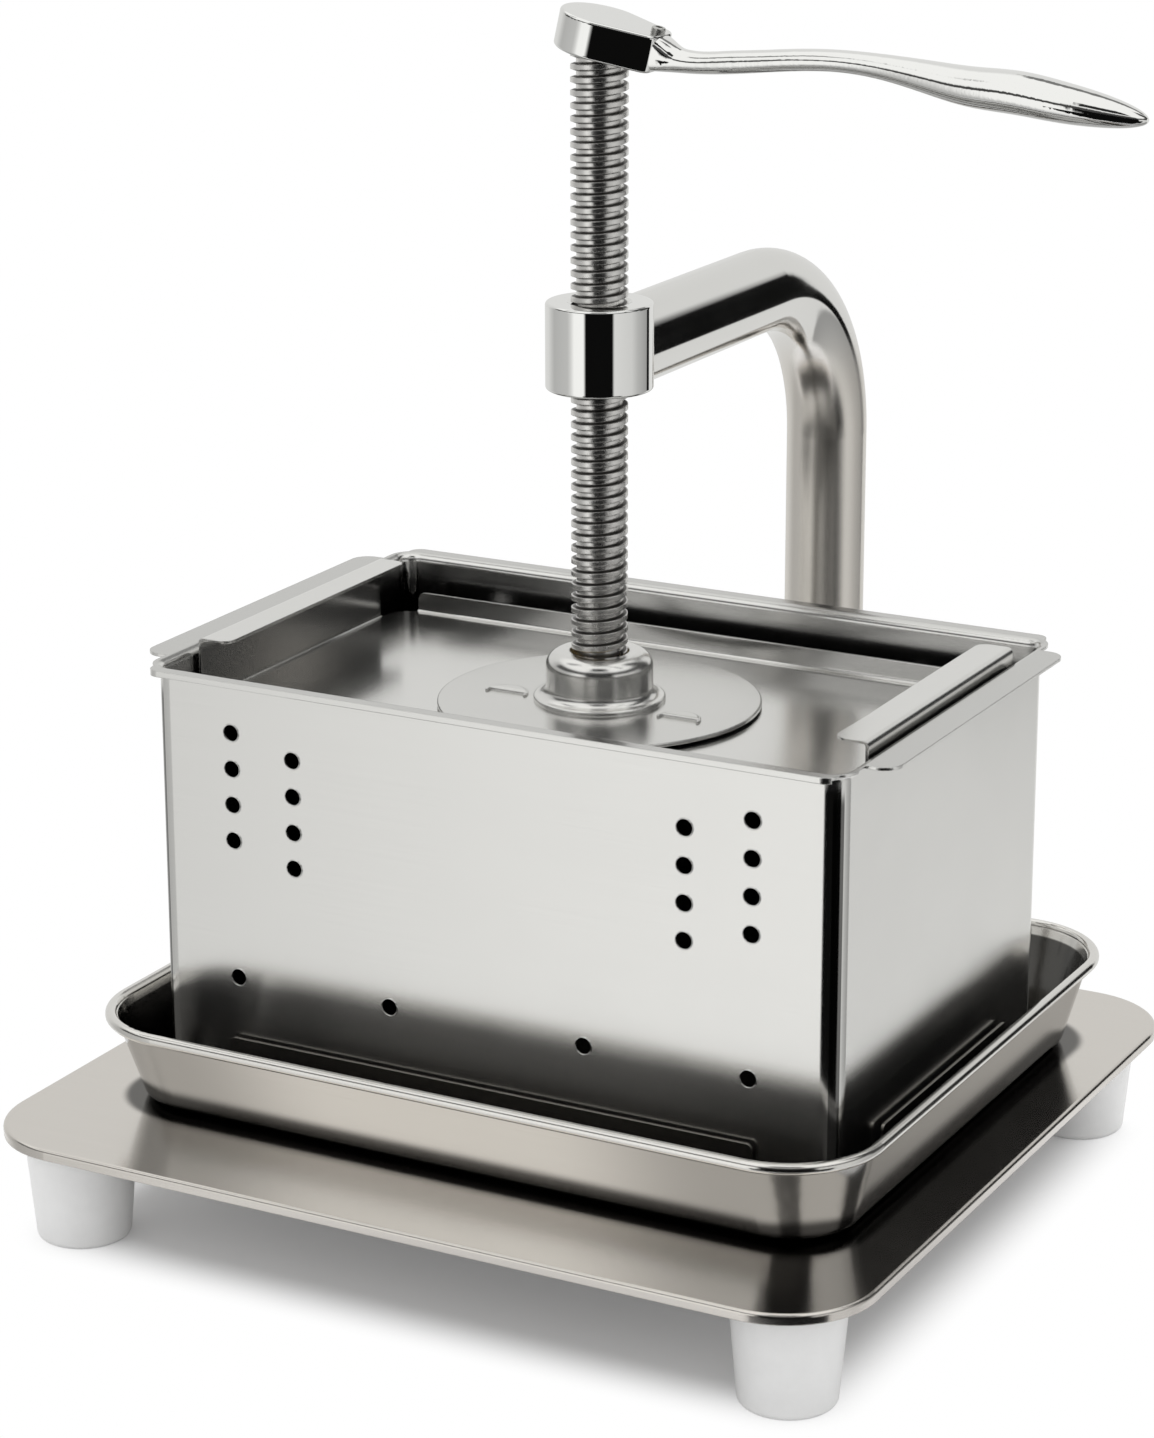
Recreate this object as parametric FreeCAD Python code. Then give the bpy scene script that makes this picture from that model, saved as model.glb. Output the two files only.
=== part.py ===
"""Screw press for tofu: a mould box in a drip tray, pressed by a lever screw on a bent post.

Millimetres, +X along the box, +Y towards the post, +Z up. The origin is on the worktop,
under the axis of the screw.
"""
import math
import os

import FreeCAD, Part

V = FreeCAD.Vector
UP = V(0, 0, 1)

# ---------------------------------------------------------------- gaps
GAP = 0.3              # between pieces that move against each other
RUN = 0.08             # radial, shaft in a bearing
HOLE_PLAY = 0.2        # radial, fastener in its hole

# ---------------------------------------------------------------- base and feet
BASE_TOP = 39.0
BASE_LENGTH = 302.0
BASE_DEPTH = 284.0
BASE_SHIFT_Y = -2.0
BASE_CORNER = 30.0
BASE_SHEET = 1.5
BASE_EDGE = 3.4
FOOT_TOP_R = 18.3
FOOT_BOTTOM_R = 15.0
FOOT_INSET = 26.0
FOOT_RECESS_R = 9.0
FOOT_RECESS = 21.0
STUD_R = 3.0
NUT_ACROSS = 10.0
NUT_THICK = 5.0
WASHER_THICK = 1.4

# ---------------------------------------------------------------- bar that carries the post
BAR_WIDTH = 50.0
BAR_THICK = 8.0
BAR_FRONT = 60.0
BAR_BOLT_X = 14.0
BAR_BOLT_FRONT = -45.0
BAR_BOLT_INSET = 11.0
BOLT_HEAD_R = 6.5
BOLT_HEAD = 3.2

# ---------------------------------------------------------------- post, arm and collar
POST_BEHIND = 31.0
TUBE_R = 14.0
TUBE_WALL = 2.0
ARM_Z = 278.0
BEND_R = 60.0
COLLAR_R = 17.0
COLLAR_HEIGHT = 27.6
COLLAR_RISE = 2.8
FLANGE_R = 23.0
FLANGE_THICK = 8.0
PLUG_LENGTH = 26.0
POST_BOLT_R = 5.0
POST_BOLT_HEAD = 6.4
POST_WASHER_THICK = 2.0

# ---------------------------------------------------------------- screw
SCREW_R = 9.0
SCREW_ROOT_R = 7.2
PITCH = 4.0
CREST = 1.5
ROOT_WIDTH = 2.8
THREAD_END = 0.4
JOURNAL_R = 6.0
CLIP_R = 9.0
CLIP_THICK = 1.2
CLIP_DEEP = 1.2
CLIP_RISE = 2.4

# ---------------------------------------------------------------- lever
HEAD_Z = 377.4
HEAD_R = 13.2
HEAD_THICK = 11.7
HEAD_TILT = 13.0
HEAD_LENGTH = 21.5
HEAD_CORNER = 3.5
HEAD_SWEEP = 72.0
ARM_ROOT_X = 19.0
ARM_NECK_X = 30.0
ARM_WAIST_X = 80.0
ARM_GRIP_X = 137.0
LEVER_TIP = 177.5
NECK_DROP = 6.7
WAIST_DROP = 3.3
GRIP_DROP = 8.8
TIP_DROP = 14.0
ROOT_HEIGHT = 11.2
ROOT_WIDE = 12.6
ROOT_SQUARE = 0.55
NECK_HEIGHT = 7.0
NECK_WIDE = 10.4
WAIST_HEIGHT = 6.5
WAIST_WIDE = 11.4
GRIP_HEIGHT = 12.4
GRIP_WIDE = 20.0
SET_X = 19.2
SET_R = 2.2
SET_LENGTH = 7.0
SET_PROUD = 1.8

# ---------------------------------------------------------------- mould box
STACK_X = 1.5
BOX_X = 119.7
BOX_Y = 78.5
BOX_TOP = 181.0
BOX_SHEET = 1.0
BOX_CORNER = 6.0
RIM_BEND = 3.0
HEM_DEEP = 1.0
HEM_WIDTH = 1.7
RIM_LONG = 5.6
RIM_TAB = 11.4
TAB_SETBACK = 11.0
LONG_SETBACK = 0.9
DRAIN_HOLE_R = 2.8
OUTER_COLUMN = 28.7
INNER_COLUMN = 51.1
TOP_ROW = 18.5
ROW_PITCH = 11.9
INNER_ROW_DROP = 5.8
LOW_ROW = 32.3
LOW_OUTER = 29.2
LOW_INNER = 85.2

# ---------------------------------------------------------------- press plate
PLATE_FLOOR = 163.6
PLATE_SHEET = 1.0
PLATE_GAP_X = 1.2
PLATE_GAP_Y = 8.8
PLATE_LIP = 6.8
LIP_SETBACK = 9.0
HANDLE_SETBACK = 13.0
HANDLE_HEIGHT = 20.7
HANDLE_WIDTH = 11.5
GRIP_BEND = 1.9

# ---------------------------------------------------------------- pressing head
PAD_R = 34.0
PAD_THICK = 0.6
DISC_R = 52.0
DISC_THICK = 1.2
CUP_R = 17.25
CUP_FLANGE_R = 21.2
CUP_FLANGE = 1.6
CUP_HEIGHT = 16.0
CUP_WALL = 3.0
CUP_ROOF = 2.7
CUP_FLARE = 3.1
MOON_X = 31.0
MOON_SHIFT_X = 2.0
MOON_R = 7.0
MOON_HEIGHT = 1.2

# ---------------------------------------------------------------- drain plate
DRAIN_FLOOR = 48.0
DRAIN_SHEET = 1.0
DRAIN_RISE = 12.6
DRAIN_GAP_X = 1.3
DRAIN_GAP_Y = 1.4
UPTURN_SETBACK_X = 29.0
UPTURN_SETBACK_Y = 32.1
LEG_R = 6.0
LEG_INSET_X = 26.0
LEG_INSET_Y = 18.6
PERFORATION_R = 2.5
PERFORATION_PITCH = 24.0

# ---------------------------------------------------------------- drip tray
TRAY_SHIFT_X = 3.0
TRAY_SHIFT_Y = 2.5
TRAY_MARGIN_X = 2.8
TRAY_MARGIN_Y = 20.6
TRAY_FLARE_X = 10.5
TRAY_FLARE_Y = 14.7
TRAY_HEIGHT = 31.4
TRAY_BEAD = 3.6
TRAY_WALL = 0.8
TRAY_CORNER = 30.0

# ---------------------------------------------------------------- worked out from the sizes above
POST_Y = BASE_SHIFT_Y + BASE_DEPTH / 2 + POST_BEHIND
SHEET_UNDER = BASE_TOP - BASE_SHEET
BAR_BOTTOM = SHEET_UNDER - BAR_THICK
BAR_BOLT_BACK = BASE_SHIFT_Y + BASE_DEPTH / 2 - BAR_BOLT_INSET
TUBE_BORE = TUBE_R - TUBE_WALL
COLLAR_BOTTOM = ARM_Z + COLLAR_RISE - COLLAR_HEIGHT / 2
COLLAR_TOP = COLLAR_BOTTOM + COLLAR_HEIGHT
BOX_BOTTOM = DRAIN_FLOOR + GAP
PLATE_UNDER = PLATE_FLOOR - PLATE_SHEET
PLATE_X = BOX_X - BOX_SHEET - PLATE_GAP_X
PLATE_Y = BOX_Y - BOX_SHEET - PLATE_GAP_Y
HANDLE_HALF = PLATE_Y - HANDLE_SETBACK
HANDLE_TOP = PLATE_FLOOR + HANDLE_HEIGHT
LIP_HALF = PLATE_X - LIP_SETBACK
DISC_BOTTOM = PLATE_FLOOR + GAP + PAD_THICK
DISC_TOP = DISC_BOTTOM + DISC_THICK
BUSH_TOP = DISC_TOP + CUP_HEIGHT - CUP_ROOF
CLIP_Z = DISC_TOP + CLIP_RISE
ROD_SHOULDER = BUSH_TOP + GAP
ROD_TOP = HEAD_Z - 0.6
DRAIN_UNDER = DRAIN_FLOOR - DRAIN_SHEET
DRAIN_TOP = DRAIN_FLOOR + DRAIN_RISE
DRAIN_X = BOX_X + DRAIN_GAP_X + DRAIN_SHEET
DRAIN_Y = BOX_Y + DRAIN_GAP_Y + DRAIN_SHEET
TRAY_FLOOR_X = DRAIN_X + TRAY_MARGIN_X
TRAY_FLOOR_Y = DRAIN_Y + TRAY_MARGIN_Y
TRAY_RIM_X = TRAY_FLOOR_X + TRAY_FLARE_X
TRAY_RIM_Y = TRAY_FLOOR_Y + TRAY_FLARE_Y
TRAY_TOP = BASE_TOP + TRAY_HEIGHT


# ================================================================ small helpers
def cyl(radius, height, x=0.0, y=0.0, z=0.0, direction=UP):
    return Part.makeCylinder(radius, height, V(x, y, z), direction)


def ring(outer, inner, height, x=0.0, y=0.0, z=0.0):
    return cyl(outer, height, x, y, z).cut(cyl(inner, height, x, y, z))


def box(x0, x1, y0, y1, z0, z1):
    return Part.makeBox(x1 - x0, y1 - y0, z1 - z0, V(x0, y0, z0))


def round_rect(half_x, half_y, radius, x=0.0, y=0.0, z=0.0):
    """Closed wire of a rectangle with round corners, lying at height z."""
    k = radius * (1 - math.sqrt(0.5))
    edges = []
    corners = [(1, -1), (1, 1), (-1, 1), (-1, -1)]
    for i, (sx, sy) in enumerate(corners):
        cx = x + sx * half_x
        cy = y + sy * half_y
        on_side = V(cx, cy - sy * radius, z)
        on_end = V(cx - sx * radius, cy, z)
        middle = V(cx - sx * k, cy - sy * k, z)
        first, last = (on_end, on_side) if i % 2 == 0 else (on_side, on_end)
        edges.append((first, middle, last))
    wires = []
    for i, (first, middle, last) in enumerate(edges):
        wires.append(Part.Arc(first, middle, last).toShape())
        following = edges[(i + 1) % 4][0]
        if (following - last).Length > 1e-6:
            wires.append(Part.makeLine(last, following))
    return Part.Wire(wires)


def slab(half_x, half_y, radius, z0, z1, x=0.0, y=0.0):
    return Part.Face(round_rect(half_x, half_y, radius, x, y, z0)).extrude(V(0, 0, z1 - z0))


def hexagon(across_flats, height, x, y, z):
    r = across_flats / math.sqrt(3)
    points = [V(x + r * math.cos(math.radians(60 * i)), y + r * math.sin(math.radians(60 * i)), z)
              for i in range(7)]
    return Part.Face(Part.makePolygon(points)).extrude(V(0, 0, height))


def edges_at(shape, z, keep=None, tol=1e-4):
    """Edges that lie wholly at height z, and pass the test keep."""
    found = []
    for edge in shape.Edges:
        bb = edge.BoundBox
        if abs(bb.ZMin - z) < tol and abs(bb.ZMax - z) < tol and (keep is None or keep(edge)):
            found.append(edge)
    return found


def soften(shape, radius, edges):
    return shape.makeFillet(radius, edges)


def fuse(first, *others):
    return first.fuse(list(others)).removeSplitter()


def compound(shapes):
    return Part.makeCompound(shapes)


# ================================================================ base
def foot_centres():
    x = BASE_LENGTH / 2 - FOOT_INSET
    front = BASE_SHIFT_Y - BASE_DEPTH / 2 + FOOT_INSET
    back = BASE_SHIFT_Y + BASE_DEPTH / 2 - FOOT_INSET
    return {"front_left": (-x, front), "front_right": (x, front), "back_left": (-x, back), "back_right": (x, back)}


def bar_fixings():
    return [(sx * BAR_BOLT_X, y) for y in (BAR_BOLT_FRONT, BAR_BOLT_BACK) for sx in (-1, 1)]


def base_plate():
    half_x = BASE_LENGTH / 2
    half_y = BASE_DEPTH / 2
    body = slab(half_x, half_y, BASE_CORNER, BASE_TOP - BASE_EDGE, BASE_TOP, 0, BASE_SHIFT_Y)
    body = soften(body, 1.2, edges_at(body, BASE_TOP))
    pocket = slab(half_x - BASE_SHEET, half_y - BASE_SHEET, BASE_CORNER - BASE_SHEET,
                  BASE_TOP - BASE_EDGE - 1, SHEET_UNDER, 0, BASE_SHIFT_Y)
    body = body.cut(pocket)
    way = BAR_WIDTH / 2 + 0.5
    body = body.cut(box(-way, way, 0, half_y + 5, BASE_TOP - BASE_EDGE - 1, SHEET_UNDER))
    for x, y in bar_fixings():
        body = body.cut(cyl(STUD_R + HOLE_PLAY, 10, x, y, BASE_TOP - 5))
    for sx in (-1, 1):
        body = body.cut(countersink(sx * BAR_BOLT_X, BAR_BOLT_FRONT, HOLE_PLAY))
    return body


def countersink(x, y, play):
    deep = STUD_R
    return Part.makeCone(STUD_R + play, STUD_R + deep + play, deep, V(x, y, BASE_TOP - deep))


def foot(x, y):
    height = SHEET_UNDER
    outer = Part.makeCone(FOOT_BOTTOM_R, FOOT_TOP_R, height, V(x, y, 0))
    outer = soften(outer, 2.2, edges_at(outer, 0.0))
    outer = outer.cut(cyl(FOOT_RECESS_R, FOOT_RECESS, x, y, 0))
    return outer.cut(cyl(STUD_R + HOLE_PLAY, height, x, y, 0))


def foot_studs():
    length = SHEET_UNDER - FOOT_RECESS + WASHER_THICK + NUT_THICK + 2
    return compound([cyl(STUD_R, length, x, y, SHEET_UNDER - length) for x, y in foot_centres().values()])


def foot_washers():
    low = FOOT_RECESS - WASHER_THICK
    outer = FOOT_RECESS_R - 1.5
    return compound([ring(outer, STUD_R + HOLE_PLAY, WASHER_THICK, x, y, low) for x, y in foot_centres().values()])


def nut(x, y, z):
    return hexagon(NUT_ACROSS, NUT_THICK, x, y, z).cut(cyl(STUD_R + RUN, NUT_THICK, x, y, z))


def foot_nuts():
    low = FOOT_RECESS - WASHER_THICK - NUT_THICK
    return compound([nut(x, y, low) for x, y in foot_centres().values()])


# ================================================================ bar under the base
def base_bar():
    half = BAR_WIDTH / 2
    bar = box(-half, half, -BAR_FRONT, POST_Y, BAR_BOTTOM, SHEET_UNDER)
    bar = fuse(bar, cyl(half, BAR_THICK, 0, POST_Y, BAR_BOTTOM))
    bar = bar.cut(cyl(POST_BOLT_R + HOLE_PLAY, BAR_THICK, 0, POST_Y, BAR_BOTTOM))
    for x, y in bar_fixings():
        bar = bar.cut(cyl(STUD_R + HOLE_PLAY, BAR_THICK, x, y, BAR_BOTTOM))
    for sx in (-1, 1):
        bar = bar.cut(countersink(sx * BAR_BOLT_X, BAR_BOLT_FRONT, HOLE_PLAY))
    return soften(bar, 0.8, edges_at(bar, BAR_BOTTOM, lambda e: e.Length > 30))


def shank_end():
    return BAR_BOTTOM - WASHER_THICK - NUT_THICK - 2.0


def bar_bolts():
    bolts = []
    for sx in (-1, 1):
        x = sx * BAR_BOLT_X
        dome = cyl(BOLT_HEAD_R, BOLT_HEAD, x, BAR_BOLT_BACK, BASE_TOP)
        dome = soften(dome, 0.8 * BOLT_HEAD, edges_at(dome, BASE_TOP + BOLT_HEAD))
        stem = cyl(STUD_R, BASE_TOP - shank_end(), x, BAR_BOLT_BACK, shank_end())
        bolts.append(fuse(dome, stem))
    return compound(bolts)


def bar_screws():
    screws = []
    for sx in (-1, 1):
        x = sx * BAR_BOLT_X
        cone = countersink(x, BAR_BOLT_FRONT, 0).cut(cyl(2 * STUD_R + 1, 1, x, BAR_BOLT_FRONT, BASE_TOP - 0.1))
        stem = cyl(STUD_R, BASE_TOP - 1 - shank_end(), x, BAR_BOLT_FRONT, shank_end())
        socket = hexagon(1.3 * STUD_R, 2, x, BAR_BOLT_FRONT, BASE_TOP - 2.1)
        screws.append(fuse(cone, stem).cut(socket))
    return compound(screws)


def bar_washers():
    low = BAR_BOTTOM - WASHER_THICK
    return compound([ring(NUT_ACROSS / 2 + 1.2, STUD_R + HOLE_PLAY, WASHER_THICK, x, y, low) for x, y in bar_fixings()])


def bar_nuts():
    low = BAR_BOTTOM - WASHER_THICK - NUT_THICK
    return compound([nut(x, y, low) for x, y in bar_fixings()])


# ================================================================ post and collar
def tube_solid(radius, start):
    straight = POST_Y - BEND_R
    arm = cyl(radius, straight - start, 0, start, ARM_Z, V(0, 1, 0))
    bend = Part.makeTorus(BEND_R, radius, V(0, straight, ARM_Z - BEND_R), V(1, 0, 0), 0, 360, 360)
    reach = radius + 1
    quarter = box(-reach, reach, straight, POST_Y + reach, ARM_Z - BEND_R, ARM_Z + reach)
    leg = cyl(radius, ARM_Z - BEND_R - SHEET_UNDER, 0, POST_Y, SHEET_UNDER)
    return fuse(arm, bend.common(quarter), leg)


def post_tube():
    tube = tube_solid(TUBE_R, 0).cut(tube_solid(TUBE_BORE, 0))
    return tube.cut(cyl(COLLAR_R, 2 * TUBE_R + 2, 0, 0, ARM_Z - TUBE_R - 1))


def post_flange():
    body = cyl(FLANGE_R, FLANGE_THICK, 0, POST_Y, SHEET_UNDER)
    body = soften(body, 2.5, edges_at(body, SHEET_UNDER + FLANGE_THICK))
    return body.cut(cyl(TUBE_R, FLANGE_THICK, 0, POST_Y, SHEET_UNDER))


def post_plug():
    body = cyl(TUBE_BORE, PLUG_LENGTH, 0, POST_Y, SHEET_UNDER)
    return body.cut(cyl(POST_BOLT_R + RUN, PLUG_LENGTH - 5, 0, POST_Y, SHEET_UNDER))


def post_washer():
    outer = 2.1 * POST_BOLT_R
    return ring(outer, POST_BOLT_R + HOLE_PLAY, POST_WASHER_THICK, 0, POST_Y, BAR_BOTTOM - POST_WASHER_THICK)


def post_bolt():
    head_top = BAR_BOTTOM - POST_WASHER_THICK
    head = hexagon(3.2 * POST_BOLT_R, POST_BOLT_HEAD, 0, POST_Y, head_top - POST_BOLT_HEAD)
    return fuse(head, cyl(POST_BOLT_R, SHEET_UNDER + PLUG_LENGTH - 7 - head_top, 0, POST_Y, head_top))


def collar_nut():
    height = COLLAR_HEIGHT
    body = cyl(COLLAR_R, height, 0, 0, COLLAR_BOTTOM)
    body = soften(body, 1.0, edges_at(body, COLLAR_BOTTOM) + edges_at(body, COLLAR_TOP))
    body = body.cut(cyl(SCREW_R + RUN, height, 0, 0, COLLAR_BOTTOM))
    wide = SCREW_R + 1.3
    lead_in = wide - SCREW_R - RUN
    top = Part.makeCone(SCREW_R + RUN, wide, lead_in, V(0, 0, COLLAR_TOP - lead_in))
    low = Part.makeCone(wide, SCREW_R + RUN, lead_in, V(0, 0, COLLAR_BOTTOM))
    return body.cut(top).cut(low)


# ================================================================ screw
def thread(start, turns):
    """A ridge of trapezium section wound round the core."""
    helix = Part.makeHelix(PITCH, PITCH * turns, SCREW_ROOT_R)
    helix.translate(V(0, 0, start))
    inner = SCREW_ROOT_R - 0.3
    half_root = ROOT_WIDTH / 2
    half_crest = CREST / 2
    points = [V(inner, 0, start - half_root), V(SCREW_ROOT_R, 0, start - half_root),
              V(SCREW_R, 0, start - half_crest), V(SCREW_R, 0, start + half_crest),
              V(SCREW_ROOT_R, 0, start + half_root), V(inner, 0, start + half_root)]
    profile = Part.makePolygon(points + [points[0]])
    return Part.Wire(helix).makePipeShell([profile], True, True)


def screw_rod():
    core = cyl(SCREW_ROOT_R, ROD_TOP - ROD_SHOULDER, 0, 0, ROD_SHOULDER)
    start = ROD_SHOULDER + ROOT_WIDTH / 2 + THREAD_END
    turns = math.floor((ROD_TOP - ROOT_WIDTH / 2 - THREAD_END - start) / PITCH)
    rod = core.fuse(thread(start, turns))
    journal = cyl(JOURNAL_R, ROD_SHOULDER - DISC_TOP - GAP, 0, 0, DISC_TOP + GAP)
    journal = soften(journal, 1.2, edges_at(journal, DISC_TOP + GAP))
    groove = ring(JOURNAL_R + 1, JOURNAL_R - CLIP_DEEP, CLIP_THICK + 0.2, 0, 0, CLIP_Z - 0.1)
    return rod.fuse(journal.cut(groove))


def retaining_clip():
    clip = ring(CLIP_R, JOURNAL_R - CLIP_DEEP + 0.1, CLIP_THICK, 0, 0, CLIP_Z)
    half_gap = 0.55 * JOURNAL_R
    return clip.cut(box(-half_gap, half_gap, 0, CLIP_R + 1, CLIP_Z, CLIP_Z + CLIP_THICK))


# ================================================================ lever
def lever_head():
    angle = math.radians(HEAD_SWEEP)
    px = HEAD_R * math.cos(angle)
    py = HEAD_R * math.sin(angle)
    neck = py - (HEAD_LENGTH - px) / math.tan(angle)
    bottom = -HEAD_THICK / 2
    arc = Part.Arc(V(px, py, bottom), V(-HEAD_R, 0, bottom), V(px, -py, bottom)).toShape()
    right = Part.makePolygon([V(px, -py, bottom), V(HEAD_LENGTH, -neck, bottom), V(HEAD_LENGTH, neck, bottom), V(px, py, bottom)])
    outline = Part.Wire([arc] + right.Edges)
    body = Part.Face(outline).extrude(V(0, 0, HEAD_THICK))
    corners = [e for e in body.Edges if e.BoundBox.ZLength > 1 and e.CenterOfMass.x > HEAD_LENGTH - 0.1]
    body = soften(body, HEAD_CORNER, corners)
    body = soften(body, 1.0, edges_at(body, bottom) + edges_at(body, -bottom))
    return place_on_head(body)


def place_on_head(shape):
    shape.rotate(V(0, 0, 0), V(0, 1, 0), HEAD_TILT)
    shape.translate(V(0, 0, HEAD_Z))
    return shape


def signed_power(value, power):
    return math.copysign(abs(value) ** power, value)


def oval(x, z, height, width, square=1.0):
    """Closed smooth outline in the plane square to X: an ellipse at square = 1, boxier below that."""
    points = []
    for i in range(24):
        angle = 2 * math.pi * i / 24
        y = width / 2 * signed_power(math.cos(angle), square)
        points.append(V(x, y, z + height / 2 * signed_power(math.sin(angle), square)))
    curve = Part.BSplineCurve()
    curve.interpolate(Points=points, PeriodicFlag=True)
    return Part.Wire(curve.toShape())


def ease(first, last, t):
    """Value that goes smoothly from first to last while t goes from 0 to 1."""
    return first + (last - first) * (1 - math.cos(math.pi * t)) / 2


def arm_span(start, end, steps):
    """Ovals from one named section of the arm to the next, without the last one."""
    ovals = []
    for i in range(steps):
        t = i / steps
        values = [ease(a, b, t) for a, b in zip(start[1:], end[1:])]
        x = start[0] + (end[0] - start[0]) * t
        ovals.append(oval(x, HEAD_Z - values[0], *values[1:]))
    return ovals


def grip_end(t):
    """Oval between the thickest place of the grip at t = 0 and the tip at t = 1."""
    x = ARM_GRIP_X + (LEVER_TIP - ARM_GRIP_X) * t
    drop = GRIP_DROP + (TIP_DROP - GRIP_DROP) * t
    share = math.sqrt(1 - t * t)
    return oval(x, HEAD_Z - drop, GRIP_HEIGHT * share, GRIP_WIDE * share)


def lever_arm():
    slope = math.tan(math.radians(HEAD_TILT))
    inside_x = ARM_ROOT_X - 6
    root = (ARM_ROOT_X, ARM_ROOT_X * slope, ROOT_HEIGHT, ROOT_WIDE, ROOT_SQUARE)
    neck = (ARM_NECK_X, NECK_DROP, NECK_HEIGHT, NECK_WIDE, 1.0)
    waist = (ARM_WAIST_X, WAIST_DROP, WAIST_HEIGHT, WAIST_WIDE, 1.0)
    grip = (ARM_GRIP_X, GRIP_DROP, GRIP_HEIGHT, GRIP_WIDE, 1.0)
    ovals = [oval(inside_x, HEAD_Z - inside_x * slope, ROOT_HEIGHT - 0.4, ROOT_WIDE - 0.4, ROOT_SQUARE)]
    ovals += arm_span(root, neck, 4) + arm_span(neck, waist, 4) + arm_span(waist, grip, 4)
    ovals += [grip_end(math.sin(math.radians(angle))) for angle in (0, 20, 38, 54, 67, 77, 84)]
    return Part.makeLoft(ovals, True, False)


def lever_handle():
    body = fuse(lever_head(), lever_arm())
    deep = ROD_TOP + 0.2
    body = body.cut(cyl(SCREW_R + 0.1, 30, 0, 0, deep - 30))
    seat = place_on_head(cyl(SET_R + RUN, SET_LENGTH + 1, SET_X, 0, HEAD_THICK / 2 + SET_PROUD - SET_LENGTH))
    return body.cut(seat)


def lever_set_screw():
    top = HEAD_THICK / 2 + SET_PROUD
    body = cyl(SET_R, SET_LENGTH, SET_X, 0, top - SET_LENGTH)
    body = soften(body, 0.25 * SET_R, edges_at(body, top))
    body = body.cut(hexagon(SET_R, 2.0, SET_X, 0, top - 2.0))
    return place_on_head(body)


# ================================================================ pressing head
def pressure_disc():
    disc = cyl(DISC_R, DISC_THICK, 0, 0, DISC_BOTTOM)
    disc = soften(disc, 0.4, edges_at(disc, DISC_TOP))
    for side in (-1, 1):
        x = side * MOON_X + MOON_SHIFT_X
        moon = cyl(MOON_R, MOON_HEIGHT, x, -1.4 * MOON_R, DISC_TOP)
        moon = moon.common(box(x - MOON_R, x + MOON_R, -1.2 * MOON_R, 0, DISC_TOP, DISC_TOP + MOON_HEIGHT))
        moon = soften(moon, 0.9 * MOON_HEIGHT, edges_at(moon, DISC_TOP + MOON_HEIGHT))
        disc = disc.fuse(moon)
    return disc.removeSplitter()


def thrust_cup():
    step = DISC_TOP + CUP_FLANGE
    flange = cyl(CUP_FLANGE_R, CUP_FLANGE, 0, 0, DISC_TOP)
    flange = soften(flange, 0.44 * CUP_FLANGE, edges_at(flange, step))
    barrel = cyl(CUP_R, CUP_HEIGHT, 0, 0, DISC_TOP)
    cup = fuse(flange, barrel)
    cup = soften(cup, CUP_FLARE, edges_at(cup, step, lambda e: abs(e.Curve.Radius - CUP_R) < 0.01))
    cup = soften(cup, 5.0, edges_at(cup, DISC_TOP + CUP_HEIGHT))
    cup = cup.cut(cyl(CUP_R - CUP_WALL, BUSH_TOP - DISC_TOP, 0, 0, DISC_TOP))
    return cup.cut(cyl(SCREW_R + 2 * GAP, CUP_HEIGHT, 0, 0, DISC_TOP))


def thrust_bushing():
    body = cyl(CUP_R - CUP_WALL - RUN, BUSH_TOP - DISC_TOP, 0, 0, DISC_TOP)
    body = body.cut(cyl(CLIP_R + 2, CLIP_Z + CLIP_THICK + GAP - DISC_TOP, 0, 0, DISC_TOP))
    return body.cut(cyl(JOURNAL_R + RUN, BUSH_TOP - DISC_TOP, 0, 0, DISC_TOP))


def thrust_pad():
    return cyl(PAD_R, PAD_THICK, 0, 0, DISC_BOTTOM - PAD_THICK)


# ================================================================ press plate
def press_plate():
    floor = slab(PLATE_X - 1.5, PLATE_Y - 1.5, LIP_SETBACK, PLATE_UNDER, PLATE_FLOOR, STACK_X)
    parts = [floor]
    for side in (-1, 1):
        parts.append(end_wall(side))
        parts.append(long_lip(side))
    plate = fuse(*parts)
    return plate


def folded_wall(reach, half, under, floor, top, sheet):
    """Sheet turned up at x = reach, with round bends and a short piece of floor."""
    body = box(reach - 12, reach, -half, half, under, top)
    body = soften(body, 2.2 * sheet, edges_at(body, under, lambda e: e.CenterOfMass.x > reach - 0.1))
    inner = reach - sheet
    hollow = box(reach - 30, inner, -half - 5, half + 5, floor, top + 5)
    hollow = soften(hollow, 1.2 * sheet, edges_at(hollow, floor, lambda e: e.CenterOfMass.x > inner - 0.1))
    return body.cut(hollow)


def round_ends(body, radius, low):
    """Rounds the upright ends of a turned-up wall at its top corners."""
    far = max(v.Y for v in body.Vertexes)
    ends = [e for e in body.Edges if abs(abs(e.CenterOfMass.y) - far) < 0.01 and e.CenterOfMass.z > low
            and e.BoundBox.ZLength < 0.01 and e.BoundBox.YLength < 0.01]
    return soften(body, radius, ends)


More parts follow.
